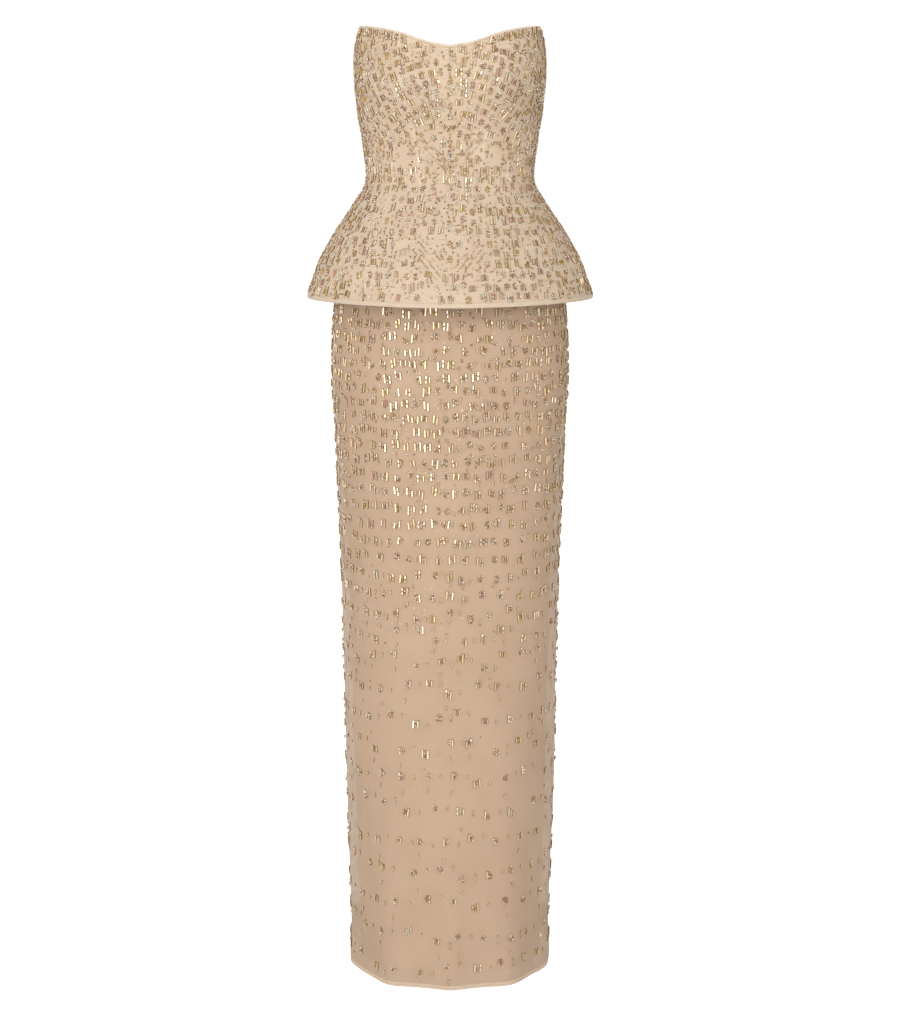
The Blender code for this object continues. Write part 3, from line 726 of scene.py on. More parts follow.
def skirt_seams(share):
    return [-CENTRE_BACK, -SKIRT_SIDE_SEAM, SKIRT_SIDE_SEAM, CENTRE_BACK]


def make_bodice():
    def gap_at(share):
        height = bodice_height(CENTRE_BACK, share)
        return math.degrees(lip_half_gap(height) / abs(bodice_point(CENTRE_BACK, height).y))

    cloth = build_shell("bodice_cloth", bodice_point, bodice_height, bodice_seams, even_shares(48),
                        lambda share, height, angle: BODICE_WALL, [BODICE_LOOK, INSIDE_LOOK], 0.0045,
                        tube=False, gap_at=gap_at,
                        edge_at=lambda angle, height, distance: SEAM_MARK * bell(distance, SEAM_MARK_WIDTH))
    panels = ("bodice_centre_front", "bodice_side_front", "bodice_side", "bodice_back")
    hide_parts(*(panel + side for panel in panels for side in ("_left", "_right")))
    return cloth


def rounded_section(width, height, count):
    """Offsets (outwards, upwards) round a rounded bar, from the middle of its inner foot."""
    points = []
    for out, up in ring(count, 1.0):
        out_size = abs(out) ** (2.0 / BINDING_POWER) * math.copysign(0.5 * width, out)
        up_size = abs(up) ** (2.0 / BINDING_POWER) * math.copysign(0.5 * height, up)
        points.append((out_size, up_size))
    return points


def make_binding():
    """Narrow bound edge: a rounded bar that follows the neckline and closes at both ends beside the zip."""
    gap = math.degrees(LIP_HALF_GAP / abs(bodice_point(CENTRE_BACK, neckline_height(CENTRE_BACK)).y))
    count = BINDING_STEPS
    angles = [blend(-CENTRE_BACK + gap, CENTRE_BACK - gap, i / count) for i in range(count + 1)]
    section = rounded_section(BINDING_WALL, BINDING_HEIGHT, BINDING_SIDES)
    vertices = []
    for angle in angles:
        height = neckline_height(angle) - 0.5 * BINDING_HEIGHT
        normal = level_normal(bodice_point, angle, height)
        centre = bodice_point(angle, height) + normal * (BINDING_PROUD - 0.5 * BINDING_WALL)
        vertices += [centre + normal * out + Vector((0.0, 0.0, up)) for out, up in section]
    size = len(section)
    faces = []
    for i in range(count):
        for j in range(size):
            low, next_low = i * size + j, i * size + (j + 1) % size
            faces.append([low, low + size, next_low + size, next_low])
    faces.append(list(range(size)))
    faces.append([count * size + j for j in reversed(range(size))])
    binding = new_object("neckline_piping", vertices, faces, [SATIN_LOOK])
    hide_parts("neckline_binding")
    return binding


def make_peplum():
    def profile_at(share, height, angle):
        above = height - peplum_hem_height(angle)
        up_band = max(0.0, min(1.0, above / PEPLUM_BAND))
        rolled = 0.00055 * math.sin(math.pi * up_band) ** 0.6 if above > 0.0 else 0.0
        tuck = -0.0006 * bell(above - PEPLUM_BAND, 0.0007)
        turned_under = -0.0009 * bell(above, 0.0007)
        return rolled + tuck + turned_under

    def wall_at(share, height, angle):
        above = height - peplum_hem_height(angle)
        if above > PEPLUM_BAND:
            return PEPLUM_WALL
        return PEPLUM_WALL + 0.0006 - 0.0016 * bell(above, 0.0008)

    def edge_at(angle, height, distance):
        above = height - peplum_hem_height(angle)
        band = 0.85 * (1.0 - ease((above - PEPLUM_BAND + 0.0008) / 0.0010))
        return max(band, SEAM_MARK * bell(distance, SEAM_MARK_WIDTH))

    length = -PEPLUM_HEM_FRONT
    fine = [1.0 - distance / length for distance in
            (0.0004, 0.0009, 0.0016, 0.0026, 0.0040, 0.0055, 0.0064, 0.0069, 0.0074, 0.0080, 0.0090)]
    cloth = build_shell("peplum_cloth", peplum_point, peplum_height, peplum_seams, even_shares(38, fine),
                        wall_at, [PEPLUM_LOOK, INSIDE_LOOK], 0.0055, wave=0.0006, seed=20,
                        profile_at=profile_at, edge_at=edge_at)
    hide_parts("peplum_centre_front", "peplum_side_left", "peplum_side_right",
                "peplum_back_left", "peplum_back_right")
    return cloth


def make_overlay():
    def edge_at(angle, height, distance):
        if height < SKIRT_HEM + HEM_FOLD + 0.0001:
            return 0.9
        return 0.45 if distance < 0.009 else 0.0

    fold = [1.0 + (HEM_FOLD + step) / SKIRT_HEM for step in (0.0, 0.0004)]
    cloth = build_shell("skirt_overlay_cloth", creased_overlay_point, skirt_height, skirt_seams,
                        even_shares(150, fold), lambda share, height, angle: SHEER_WALL, [SHEER_LOOK], 0.0055,
                        near=(0.0006, 0.0013, 0.0024, 0.0045, 0.0086, 0.0094), wave=0.0, relief=0.8, seed=40,
                        edge_at=edge_at)
    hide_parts("skirt_overlay_front", "skirt_overlay_back_left", "skirt_overlay_back_right")
    return cloth


def sheer_hem_depth(angle):
    """The turned hem is narrow at the front and the back and deep at the side seams."""
    side = ease((SIDE_HEM_REACH - abs(abs(turn_between(angle, 0.0)) - SIDE_HEM_CENTRE)) / SIDE_HEM_REACH)
    return blend(SHEER_HEM, SIDE_HEM, side)


def make_overlay_hem():
    """Narrow turned hem inside the sheer overlay's edge."""
    def band_point(angle, height):
        return moved_out(creased_overlay_point, angle, height, -SHEER_WALL - 0.0001)

    def band_height(angle, share):
        return SKIRT_HEM + 0.0001 + sheer_hem_depth(angle) * share

    fold = HEM_FOLD / SHEER_HEM
    band = build_shell("skirt_overlay_hem", band_point, band_height, skirt_seams,
                       [0.0, 0.5 * fold, fold, 0.5, 0.65, 0.8, 1.0], lambda share, height, angle: SHEER_WALL,
                       [SHEER_HEM_LOOK], 0.0055, wave=0.0, relief=0.0,
                       edge_at=lambda angle, height, distance: 1.0 if height < SKIRT_HEM + HEM_FOLD else 0.0)
    return band


def make_lining():
    def profile_at(share, height, angle):
        above = height - LINING_HEM
        return -0.0004 * bell(above - LINING_ALLOWANCE, 0.0008) - 0.0003 * bell(above, 0.0008)

    def edge_at(angle, height, distance):
        above = height - LINING_HEM
        return 0.8 * (1.0 - ease((above - LINING_ALLOWANCE + 0.001) / 0.002))

    length = -LINING_HEM
    fine = [1.0 - (LINING_ALLOWANCE + d) / length for d in (-0.0016, -0.0008, 0.0, 0.0008, 0.0016)]
    cloth = build_shell("skirt_lining_cloth", lining_point, lining_height, skirt_seams,
                        even_shares(100, fine), lambda share, height, angle: LINING_WALL, [LINING_LOOK],
                        0.0075, wave=0.0, seed=60, profile_at=profile_at, edge_at=edge_at)
    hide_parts("skirt_lining_front", "skirt_lining_back_left", "skirt_lining_back_right")
    return cloth


# Beads

Kind = namedtuple("Kind", "vertices faces smooth shades")
# A painted light level runs from 0, painted shade at the foot on the cloth, through 1, the bead's own tint,
# to a painted highlight at its crown


def bar_shape(width, length, thickness):
    """Bugle with sloping sides: painted shade round its foot and a painted highlight along its narrow top."""
    # Painted light levels: painted shade at the foot and up the sides, a painted highlight on the top face
    levels = [(0.0, 0.0, 0.0), (0.45 * thickness, 0.0, 0.0), (thickness, 0.21 * width, 1.42)]
    vertices, shades = [], []
    for out, inset, shade in levels:
        x, z = 0.5 * width - inset, 0.5 * length - 0.8 * inset
        vertices += [(-x, out, -z), (x, out, -z), (x, out, z), (-x, out, z)]
        shades += [shade] * 4
    faces = [[0, 1, 2, 3]]
    for level in (0, 4):
        for i in range(4):
            j = (i + 1) % 4
            faces.append([level + j, level + i, level + 4 + i, level + 4 + j])
    faces.append([11, 10, 9, 8])
    return Kind(vertices, faces, False, shades)


def seed_shape(radius, sides):
    """Small round bead: a blunt dome on the cloth, with painted shade round its foot and a painted highlight
    at its crown.
    """
    vertices, shades = [], []
    for size, out, shade in ((1.0, 0.15, 0.25), (0.58, 1.30, 1.15)):
        vertices += [(x, out * radius, z) for x, z in ring(sides, size * radius)]
        shades += [shade] * sides
    faces = [list(range(sides)), [sides + i for i in reversed(range(sides))]]
    faces += [[(i + 1) % sides, i, sides + i, sides + (i + 1) % sides] for i in range(sides)]
    return Kind(vertices, faces, True, shades)


def sequin_shape(radius, hole, sides):
    """Thin flat sequin with a hole."""
    # Painted light levels: painted shade on the underside against the cloth, lighter over the top face
    edges = ((hole, 0.0, 0.2), (radius, 0.0, 0.3), (radius, SEQUIN_WALL, 0.75), (hole, SEQUIN_WALL, 1.0))
    vertices, shades, faces = [], [], []
    for i, (size, out, shade) in enumerate(edges):
        vertices += [(x, out, z) for x, z in ring(sides, size)]
        shades += [shade] * sides
        low, high = i * sides, (i + 1) % len(edges) * sides
        for j in range(sides):
            k = (j + 1) % sides
            faces.append([low + j, low + k, high + k, high + j])
    return Kind(vertices, faces, False, shades)


def rod_shape(radius, length, sides, taper=1.0):
    """Thin bugle tube, or a drop where it tapers to its upper end."""
    # Painted shade on the side towards the cloth and a painted highlight along the top
    vertices, shades = [], []
    for end, size in ((-0.5 * length, radius), (0.5 * length, radius * taper)):
        for across, up in ring(sides, 1.0, 0.25):
            vertices.append((size * across, radius + size * up, end))
            shades.append(ROD_PAINTED_HIGHLIGHT * ease(0.5 + 0.5 * up))
    faces = [[i, (i + 1) % sides, sides + (i + 1) % sides, sides + i] for i in range(sides)]
    faces += [list(reversed(range(sides))), [sides + i for i in range(sides)]]
    return Kind(vertices, faces, True, shades)


BAR = bar_shape(BAR_WIDTH, BAR_LENGTH, BAR_THICKNESS)
LONG_BAR = bar_shape(BAR_WIDTH, BAR_LENGTH * 1.12, BAR_THICKNESS)
HALF_BAR = bar_shape(BAR_WIDTH, BAR_LENGTH * 0.46, BAR_THICKNESS)
SHORT_BAR = bar_shape(BAR_WIDTH * 0.85, BAR_LENGTH * 0.72, BAR_THICKNESS)
SEED = seed_shape(SEED_RADIUS, 6)
SEQUIN = sequin_shape(SEQUIN_RADIUS, SEQUIN_HOLE, 8)
DASH = rod_shape(DASH_RADIUS, DASH_LENGTH, 4)
SHORT_DASH = rod_shape(DASH_RADIUS, DASH_LENGTH * 0.68, 4)
DROP = rod_shape(SEED_RADIUS * 0.9, DROP_LENGTH, 6, 0.35)
STITCH = rod_shape(STITCH_RADIUS, STITCH_LENGTH, 4)
PRICK = rod_shape(STITCH_RADIUS, STITCH_LENGTH * 0.45, 4)

CHAMPAGNE = (0.72, 0.45, 0.235)
GOLD = (0.62, 0.365, 0.085)
ROSE = (0.60, 0.26, 0.20)
PALE = (0.92, 0.74, 0.49)
BRONZE = (0.27, 0.12, 0.035)
# Near-white tint that stands in for painted sparkle on some beads
PAINTED_SPARKLE = (1.0, 0.95, 0.85)
PEACH = (0.60, 0.41, 0.27)
TAN = (0.52, 0.32, 0.17)
# Painted shade colour at the foot of each bead, where it meets the cloth
PAINTED_SHADE = (0.11, 0.042, 0.012)
# Painted highlight colour at each bead's crown
PAINTED_HIGHLIGHT = (1.0, 0.88, 0.64)
CELL = 0.02


class Beads:
    """Beads of one sort on one part of the gown, gathered into a single mesh."""

    def __init__(self, name, material, slot="glass_beads"):
        self.name = name
        self.material = material
        self.slot = slot
        self.vertices = []
        self.faces = []
        self.smooth = []
        self.tints = []

    def with_painted_light(self, tint, shade):
        # The tint is darkened towards the painted shade below level 1 and lightened towards the painted
        # highlight above it
        low, high = (PAINTED_SHADE, tint) if shade <= 1.0 else (tint, PAINTED_HIGHLIGHT)
        share = shade if shade <= 1.0 else shade - 1.0
        return (*(blend(first, second, share) for first, second in zip(low, high)), 1.0)

    def add(self, kind, place, tint):
        start = len(self.vertices)
        self.vertices += [place @ Vector(vertex) for vertex in kind.vertices]
        self.faces += [[start + corner for corner in face] for face in kind.faces]
        self.smooth += [kind.smooth] * len(kind.faces)
        self.tints += [self.with_painted_light(tint, shade) for shade in kind.shades]

    def finish(self):
        item = new_object(self.name, self.vertices, self.faces, [self.material], smooth=False)
        mesh = item.data
        mesh.polygons.foreach_set("use_smooth", self.smooth)
        # The tint attribute carries each bead's own colour together with its painted shade and highlight
        tint = mesh.color_attributes.new("tint", "FLOAT_COLOR", "POINT")
        tint.data.foreach_set("color", [value for colour in self.tints for value in colour])
        return item


def frame_on(surface, angle, height, lean=0.0):
    """Place on the surface: X along the level, Y out of the cloth, Z up it, leaning by some degrees."""
    here = surface(angle, height)
    across = surface(angle + NORMAL_STEP, height) - surface(angle - NORMAL_STEP, height)
    upward = surface(angle, height + HEIGHT_STEP) - surface(angle, height - HEIGHT_STEP)
    out = across.cross(upward).normalized()
    across.normalize()
    upward = out.cross(across)
    turned = Matrix.Rotation(math.radians(lean), 3, "Y")
    axes = Matrix((across, out, upward)).transposed()
    if axes.determinant() < 0.0:
        axes = Matrix((across, out, -upward)).transposed()
    return Matrix.Translation(here) @ (axes @ turned).to_4x4()


def cell_of(point):
    return tuple(int(math.floor(value / CELL)) for value in point)


class BeadedCloth:
    """Lays bead clusters on a surface and keeps them apart."""

    def __init__(self, name, surface, seed, rose_share):
        self.surface = surface
        self.random = random.Random(seed)
        self.rose_share = rose_share
        self.bars = Beads(name + "_bugles", BAR_LOOK)
        self.seeds = Beads(name + "_seed_beads", SEED_LOOK)
        self.sequins = Beads(name + "_sequins", SEQUIN_LOOK)
        self.cells = {}

    def frame_at(self, angle, height, lean=0.0):
        return frame_on(self.surface, angle, height, lean)

    def take(self, point, radius):
        self.cells.setdefault(cell_of(point), []).append((point, radius))

    def room(self, point, radius):
        """True if a place of this radius touches none that is taken, and then it is taken too."""
        cell = cell_of(point)
        for step in product((-1, 0, 1), repeat=3):
            near = self.cells.get(tuple(i + j for i, j in zip(cell, step)), ())
            if any((other - point).length < radius + reach for other, reach in near):
                return False
        self.take(point, radius)
        return True

    def jitter(self, size):
        return self.random.uniform(-size, size)

    def tilt(self, degrees):
        first = Matrix.Rotation(math.radians(self.jitter(degrees)), 4, "X")
        return first @ Matrix.Rotation(math.radians(self.jitter(degrees)), 4, "Z")

    def varied(self, tint):
        share = self.random.uniform(0.76, 1.12)
        return tuple(min(1.0, value * share) for value in tint)

    def pick_tint(self):
        if self.random.random() < self.rose_share:
            return ROSE
        return self.random.choices((CHAMPAGNE, GOLD, PALE), (5, 4, 2))[0]

    def put_bar(self, place, x, z, tint, kind=BAR, tilt=BAR_TILT):
        spot = place @ Matrix.Translation((x, 0.0, z)) @ self.tilt(tilt)
        self.bars.add(kind, spot, self.varied(tint))

    def put_thin(self, place, x, z, tint, kind=DASH):
        self.put_bar(place, x, z, tint, kind, THIN_TILT)

    def put_seed(self, place, x, z, tint):
        spin = Matrix.Rotation(self.random.uniform(0.0, 2.0 * math.pi), 4, "Y")
        spot = place @ Matrix.Translation((x, 0.0, z)) @ self.tilt(SEED_TILT) @ spin
        self.seeds.add(SEED, spot, self.varied(tint))

    def put_sequin(self, angle, height):
        spot = self.frame_at(angle, height) @ self.tilt(BAR_TILT)
        self.sequins.add(SEQUIN, spot, self.varied(PEACH))

    def put_drop(self, angle, height, tint=TAN):
        if height > SKIRT_HEM + LOWEST_BEAD:
            spot = self.frame_at(angle, height, self.jitter(25.0))
            self.sequins.add(DROP, spot, self.varied(tint))

    def seed_column(self, place, x, count, tints, centre=0.0):
        pitch = 2.02 * SEED_RADIUS
        for i in range(count):
            z = centre + (i - 0.5 * (count - 1)) * pitch
            self.put_seed(place, x + self.jitter(0.0003), z + self.jitter(0.0002), self.random.choice(tints))

    def bugle(self, place, x, z, tint):
        """One upright line of the cluster: a whole, a long or a short bugle, or two halves end to end."""
        pick = self.random.random()
        if pick < 0.66:
            self.put_bar(place, x, z, tint, BAR if pick < 0.34 else LONG_BAR if pick < 0.46 else SHORT_BAR)
        else:
            half = 0.26 * BAR_LENGTH
            self.put_bar(place, x + self.jitter(0.0003), z + half, tint, HALF_BAR)
            self.put_bar(place, x + self.jitter(0.0003), z - half, self.second_tint(tint), HALF_BAR)

    def pair(self, place, tint):
        """Two parallel bugles with a column of seed beads between them."""
        slip = self.jitter(0.0018)
        spread = PAIR_HALF_SPREAD + self.jitter(0.0004)
        self.bugle(place, -spread, slip, tint)
        self.bugle(place, spread, -slip, tint)
        self.seed_column(place, 0.0, self.random.choice((3, 3, 4)), self.seed_tints(tint), self.jitter(0.001))

    def twins(self, place, tint):
        """Two bugles close beside each other."""
        half = 0.5 * BAR_WIDTH + 0.0006
        slip = self.jitter(0.0018)
        self.bugle(place, -half, slip, tint)
        self.bugle(place, half, -slip, tint)

    def bar_and_seeds(self, place, tint):
        """One bugle with a column of seed beads, and a shorter one outside it."""
        side = self.random.choice((-1.0, 1.0))
        tints = self.seed_tints(tint)
        self.bugle(place, side * BAR_BESIDE, self.jitter(0.001), tint)
        self.seed_column(place, 0.0, self.random.choice((3, 4)), tints)
        self.seed_column(place, -side * SEEDS_BESIDE, self.random.choice((2, 3)), tints, self.jitter(0.002))

    def rosette(self, place, tint, petals=6):
        """Seed beads in an oval ring round one or two more."""
        tints = self.seed_tints(tint)
        self.seed_column(place, 0.0, self.random.choice((1, 2)), tints)
        for x, z in ring(petals, 2.0 * SEED_RADIUS, self.random.uniform(0.0, 1.0)):
            self.put_seed(place, x, ROSETTE_STRETCH * z, self.random.choice(tints))

    def block(self, place, tint):
        """Seed beads in three columns."""
        for column in (-1, 0, 1):
            x = column * 2.0 * SEED_RADIUS
            self.seed_column(place, x, 3 if column else 4, self.seed_tints(tint), self.jitter(0.0006))

    def ladder(self, place, tint):
        """Two short bugles joined by a few seed beads."""
        half = 0.5 * BAR_WIDTH + SEED_RADIUS + 0.0003
        for x in (-half, half):
            self.put_bar(place, x, self.jitter(0.001), tint, SHORT_BAR)
        self.seed_column(place, 0.0, 3, [tint, tint, BRONZE])

    def sheaf(self, place, tint):
        """Three or four thin bugles side by side."""
        count = self.random.choice((3, 4))
        for i in range(count):
            x = (i - 0.5 * (count - 1)) * SHEAF_PITCH
            self.put_thin(place, x, self.jitter(0.0016), self.second_tint(tint))

    def mini(self, place, tint):
        """A few seed beads, or a short thin bugle by itself or beside a seed bead."""
        tints = self.seed_tints(tint)
        pick = self.random.random()
        if pick < 0.36:
            self.seed_column(place, 0.0, self.random.choice((2, 3)), tints)
        elif pick < 0.58:
            for x in (-1.1 * SEED_RADIUS, 1.1 * SEED_RADIUS):
                self.put_seed(place, x, self.jitter(0.0007), self.random.choice(tints))
        elif pick < 0.78:
            self.put_seed(place, -1.2 * SEED_RADIUS, self.jitter(0.0015), self.random.choice(tints))
            self.put_thin(place, SEED_RADIUS, 0.0, self.second_tint(tint), SHORT_DASH)
        else:
            self.put_seed(place, 0.0, 0.0, self.random.choice(tints))

    def seed_tints(self, tint):
        # The near-white beads among these stand in for painted sparkle
        return [tint, tint, tint, GOLD if tint != ROSE else ROSE, BRONZE, PALE, PAINTED_SPARKLE, PAINTED_SPARKLE]

    def second_tint(self, tint):
        # The near-white beads among these stand in for painted sparkle
        return self.random.choice((tint, tint, GOLD, CHAMPAGNE, PALE, PAINTED_SPARKLE))

    def cluster(self, angle, height, lean, radius, mix):
        """One cluster of the mix's kinds, if there is room for it."""
        place = self.frame_at(angle, height, lean + self.jitter(6.0))
        if not self.room(place.translation.copy(), radius):
            return False
        names = list(mix)
        name = self.random.choices(names, [mix[key] for key in names])[0]
        getattr(self, name)(place, self.pick_tint())
        return True

    def dash(self, angle, height, lean, tint, kind):
        spot = self.frame_at(angle, height, lean)
        self.bars.add(kind, spot, self.varied(tint))
        self.take(spot.translation.copy(), 0.0022)

    def knots(self, table, petals, radius):
        """Rosettes down the centre front, with room kept round each."""
        for height, tint in table:
            self.rosette(self.frame_at(0.0, height), tint, petals)
            self.take(self.surface(0.0, height), radius)

    def free_places(self, tries, widest, low, high, fits, radius):
        """Random places with room for a radius, each taken as it is found."""
        for _ in range(tries):
            angle = self.random.uniform(-widest, widest)
            height = self.random.uniform(low, high)
            if fits(angle, height) and self.room(self.surface(angle, height), radius):
                yield angle, height

    def fill(self, tries, widest, low, high, fits, lean_at):
        """Small groups of beads wherever the clusters have left room."""
        for angle, height in self.free_places(tries, widest, low, high, fits, MINI_RADIUS):
            lean = lean_at(angle, height) + self.jitter(14.0)
            self.mini(self.frame_at(angle, height, lean), self.pick_tint())

    def dot(self, tries, widest, low, high, fits):
        """Sequins in what room is left after that."""
        for angle, height in self.free_places(tries, widest, low, high, fits, SEQUIN_ROOM):
            self.put_sequin(angle, height)

    def finish(self):
        return [group.finish() for group in (self.bars, self.seeds, self.sequins) if group.faces]


def angle_of(surface, x, height):
    """Polar angle at the front where the surface has this x, or None beyond its side."""
    if abs(x) >= abs(surface(90.0, height).x):
        return None
    low, high = 0.0, 90.0
    for _ in range(18):
        middle = 0.5 * (low + high)
        if surface(middle, height).x < abs(x):
            low = middle
        else:
            high = middle
    return math.copysign(0.5 * (low + high), x)


BODICE_MIX = {"pair": 6, "twins": 2, "bar_and_seeds": 3, "rosette": 4, "block": 2, "ladder": 2, "sheaf": 1}
SIDE_MIX = {"pair": 3, "twins": 2, "bar_and_seeds": 2, "rosette": 2, "block": 2, "ladder": 2, "sheaf": 5}
PEPLUM_MIX = {"pair": 3, "twins": 2, "bar_and_seeds": 3, "rosette": 4, "block": 3, "ladder": 2, "sheaf": 2}
SKIRT_MIX = {"pair": 7, "twins": 3, "bar_and_seeds": 4, "rosette": 3, "block": 1, "ladder": 1}
SPARSE_MIX = {"pair": 3, "bar_and_seeds": 4, "rosette": 4, "block": 3, "ladder": 2}
CLUSTER_RADIUS = 0.0064
BODICE_RADIUS = 0.0058
MINI_RADIUS = 0.0029
SEQUIN_ROOM = 0.0025

# Bodice beading
ARCH_CENTRE_HEIGHT = 0.034
ARCH_FIRST = 0.040
ARCH_PITCH = 0.0148
ARCH_COUNT = 12
ARCH_STEP = 0.0124
FRONT_LIMIT = 66.0
SIDE_FROM = 46.0
CHEVRON_TOP_X = 0.046
CHEVRON_TOP_HEIGHT = 0.069
CHEVRON_FOOT_HEIGHT = 0.024
CHEVRON_LINES = 4
BARE_PATCH_X = 0.064
BARE_PATCH_HEIGHT = 0.040
BARE_PATCH_HALF_WIDTH = 0.012
BARE_PATCH_HALF_HEIGHT = 0.015
CENTRE_SEEDS = 50
CENTRE_KNOTS = ((0.029, PALE), (0.0425, BRONZE), (0.056, BRONZE), (0.091, PALE), (0.106, CHAMPAGNE),
                (0.122, GOLD), (0.140, CHAMPAGNE), (0.158, BRONZE), (0.179, GOLD))
CROWN_HEIGHT = 0.075
CROWN_ROWS = 3
CROWN_PITCH = 0.0026
WAIST_ROWS = ((0.0058, 4.8), (0.0188, 5.5))
SIDE_ROW_FIRST = 0.030
SIDE_ROW_PITCH = 0.0124
SIDE_ROW_TURN = 4.6

# Peplum beading
PEPLUM_KNOTS = ((-0.030, PALE), (-0.052, CHAMPAGNE), (-0.080, GOLD), (-0.100, GOLD))
PEPLUM_ROWS = 11
PEPLUM_CHEVRON_LINES = 4
PEPLUM_CHEVRON_STEPS = 4
CLOSE_STEP = 0.0138
WIDE_STEP = 0.0150


def girth_at(surface, height):
    """Round the body, near enough for spacing the clusters in a row."""
    return math.pi * (surface(90.0, height).x - surface(0.0, height).y)


def by_zip(angle, reach):
    return abs(turn_between(angle, CENTRE_BACK)) < reach


def upright(angle, height):
    return 0.0


def bodice_lean(x, height, angle):
    """Bugles fan out from the waist's middle over the bust, and stand upright at the waist and the back."""
    rise = ease((height - 0.03) / 0.08)
    fan = math.degrees(math.atan2(x, height - ARCH_CENTRE_HEIGHT + 0.05))
    return -fan * rise * max(0.0, math.cos(math.radians(angle))) ** 0.5 if abs(angle) < 90.0 else 0.0


def lean_here(angle, height):
    return bodice_lean(bodice_point(angle, height).x, height, angle)


def bead_centre_front(beads):
    """A line of seed beads up the centre front with knots, and a small crown low on it."""
    lowest, highest = 0.012, neckline_height(0.0) - 0.007
    for i in range(CENTRE_SEEDS):
        place = beads.frame_at(0.0, blend(lowest, highest, i / (CENTRE_SEEDS - 1)))
        if beads.random.random() < 0.9:
            beads.put_seed(place, beads.jitter(0.0004), 0.0, beads.second_tint(GOLD))
        beads.take(place.translation.copy(), 0.0014)
    beads.knots(CENTRE_KNOTS, 7, 0.0036)
    for side in (-1.0, 1.0):
        for row in range(CROWN_ROWS):
            for step in range(1, 7 - row):
                angle = angle_of(bodice_point, side * CROWN_PITCH * (step - 0.4 * (row % 2)), CROWN_HEIGHT)
                height = CROWN_HEIGHT - 0.0025 + 0.0027 * row + 0.00050 * step * (step - 1)
                place = beads.frame_at(angle, height)
                beads.put_seed(place, 0.0, 0.0, beads.random.choice((PALE, PALE, GOLD, BRONZE)))
                beads.take(place.translation.copy(), 0.0022)
    beads.seed_column(beads.frame_at(0.0, CROWN_HEIGHT), 0.0, 5, [PALE, GOLD])


def bead_waist_figure(beads):
    """Chevrons of thin bugles that point down to the waist, and an arc of seed beads over each bare patch."""
    dash_tints, arc_tints = (CHAMPAGNE, GOLD, GOLD, PALE, BRONZE), (PEACH, CHAMPAGNE, PALE, GOLD, BRONZE)
    for side in (-1.0, 1.0):
        for line in range(CHEVRON_LINES):
            for step in range(5):
                share = (step + 0.35 + 0.3 * (line % 2) + beads.jitter(0.08)) / 5.2
                x = blend(0.004, CHEVRON_TOP_X, share)
                height = blend(CHEVRON_FOOT_HEIGHT, CHEVRON_TOP_HEIGHT, share) - 0.0050 * (line - 1.5)
                angle = angle_of(bodice_point, side * x, height + beads.jitter(0.0005))
                if beads.random.random() < 0.88:
                    lean = -side * (46.0 + beads.jitter(7.0))
                    kind = beads.random.choice((DASH, DASH, SHORT_DASH))
                    beads.dash(angle, height, lean, beads.random.choice(dash_tints), kind)
        # An open band of seed beads over the patch, denser at the wearer's left
        for i in range(70 if side > 0.0 else 20):
            turn = math.pi * (0.30 + 0.68 * beads.random.random())
            reach = 1.0 + beads.random.uniform(-0.12, 0.30)
            x = side * (BARE_PATCH_X + BARE_PATCH_HALF_WIDTH * reach * math.cos(turn))
            height = BARE_PATCH_HEIGHT + BARE_PATCH_HALF_HEIGHT * reach * math.sin(turn)
            place = beads.frame_at(angle_of(bodice_point, x, height), height)
            if beads.room(place.translation.copy(), 0.0012):
                beads.put_seed(place, 0.0, 0.0, beads.random.choice(arc_tints))
        for height in (BARE_PATCH_HEIGHT + 0.004, BARE_PATCH_HEIGHT - 0.008):
            beads.take(bodice_point(angle_of(bodice_point, side * BARE_PATCH_X, height), height), 0.0052)


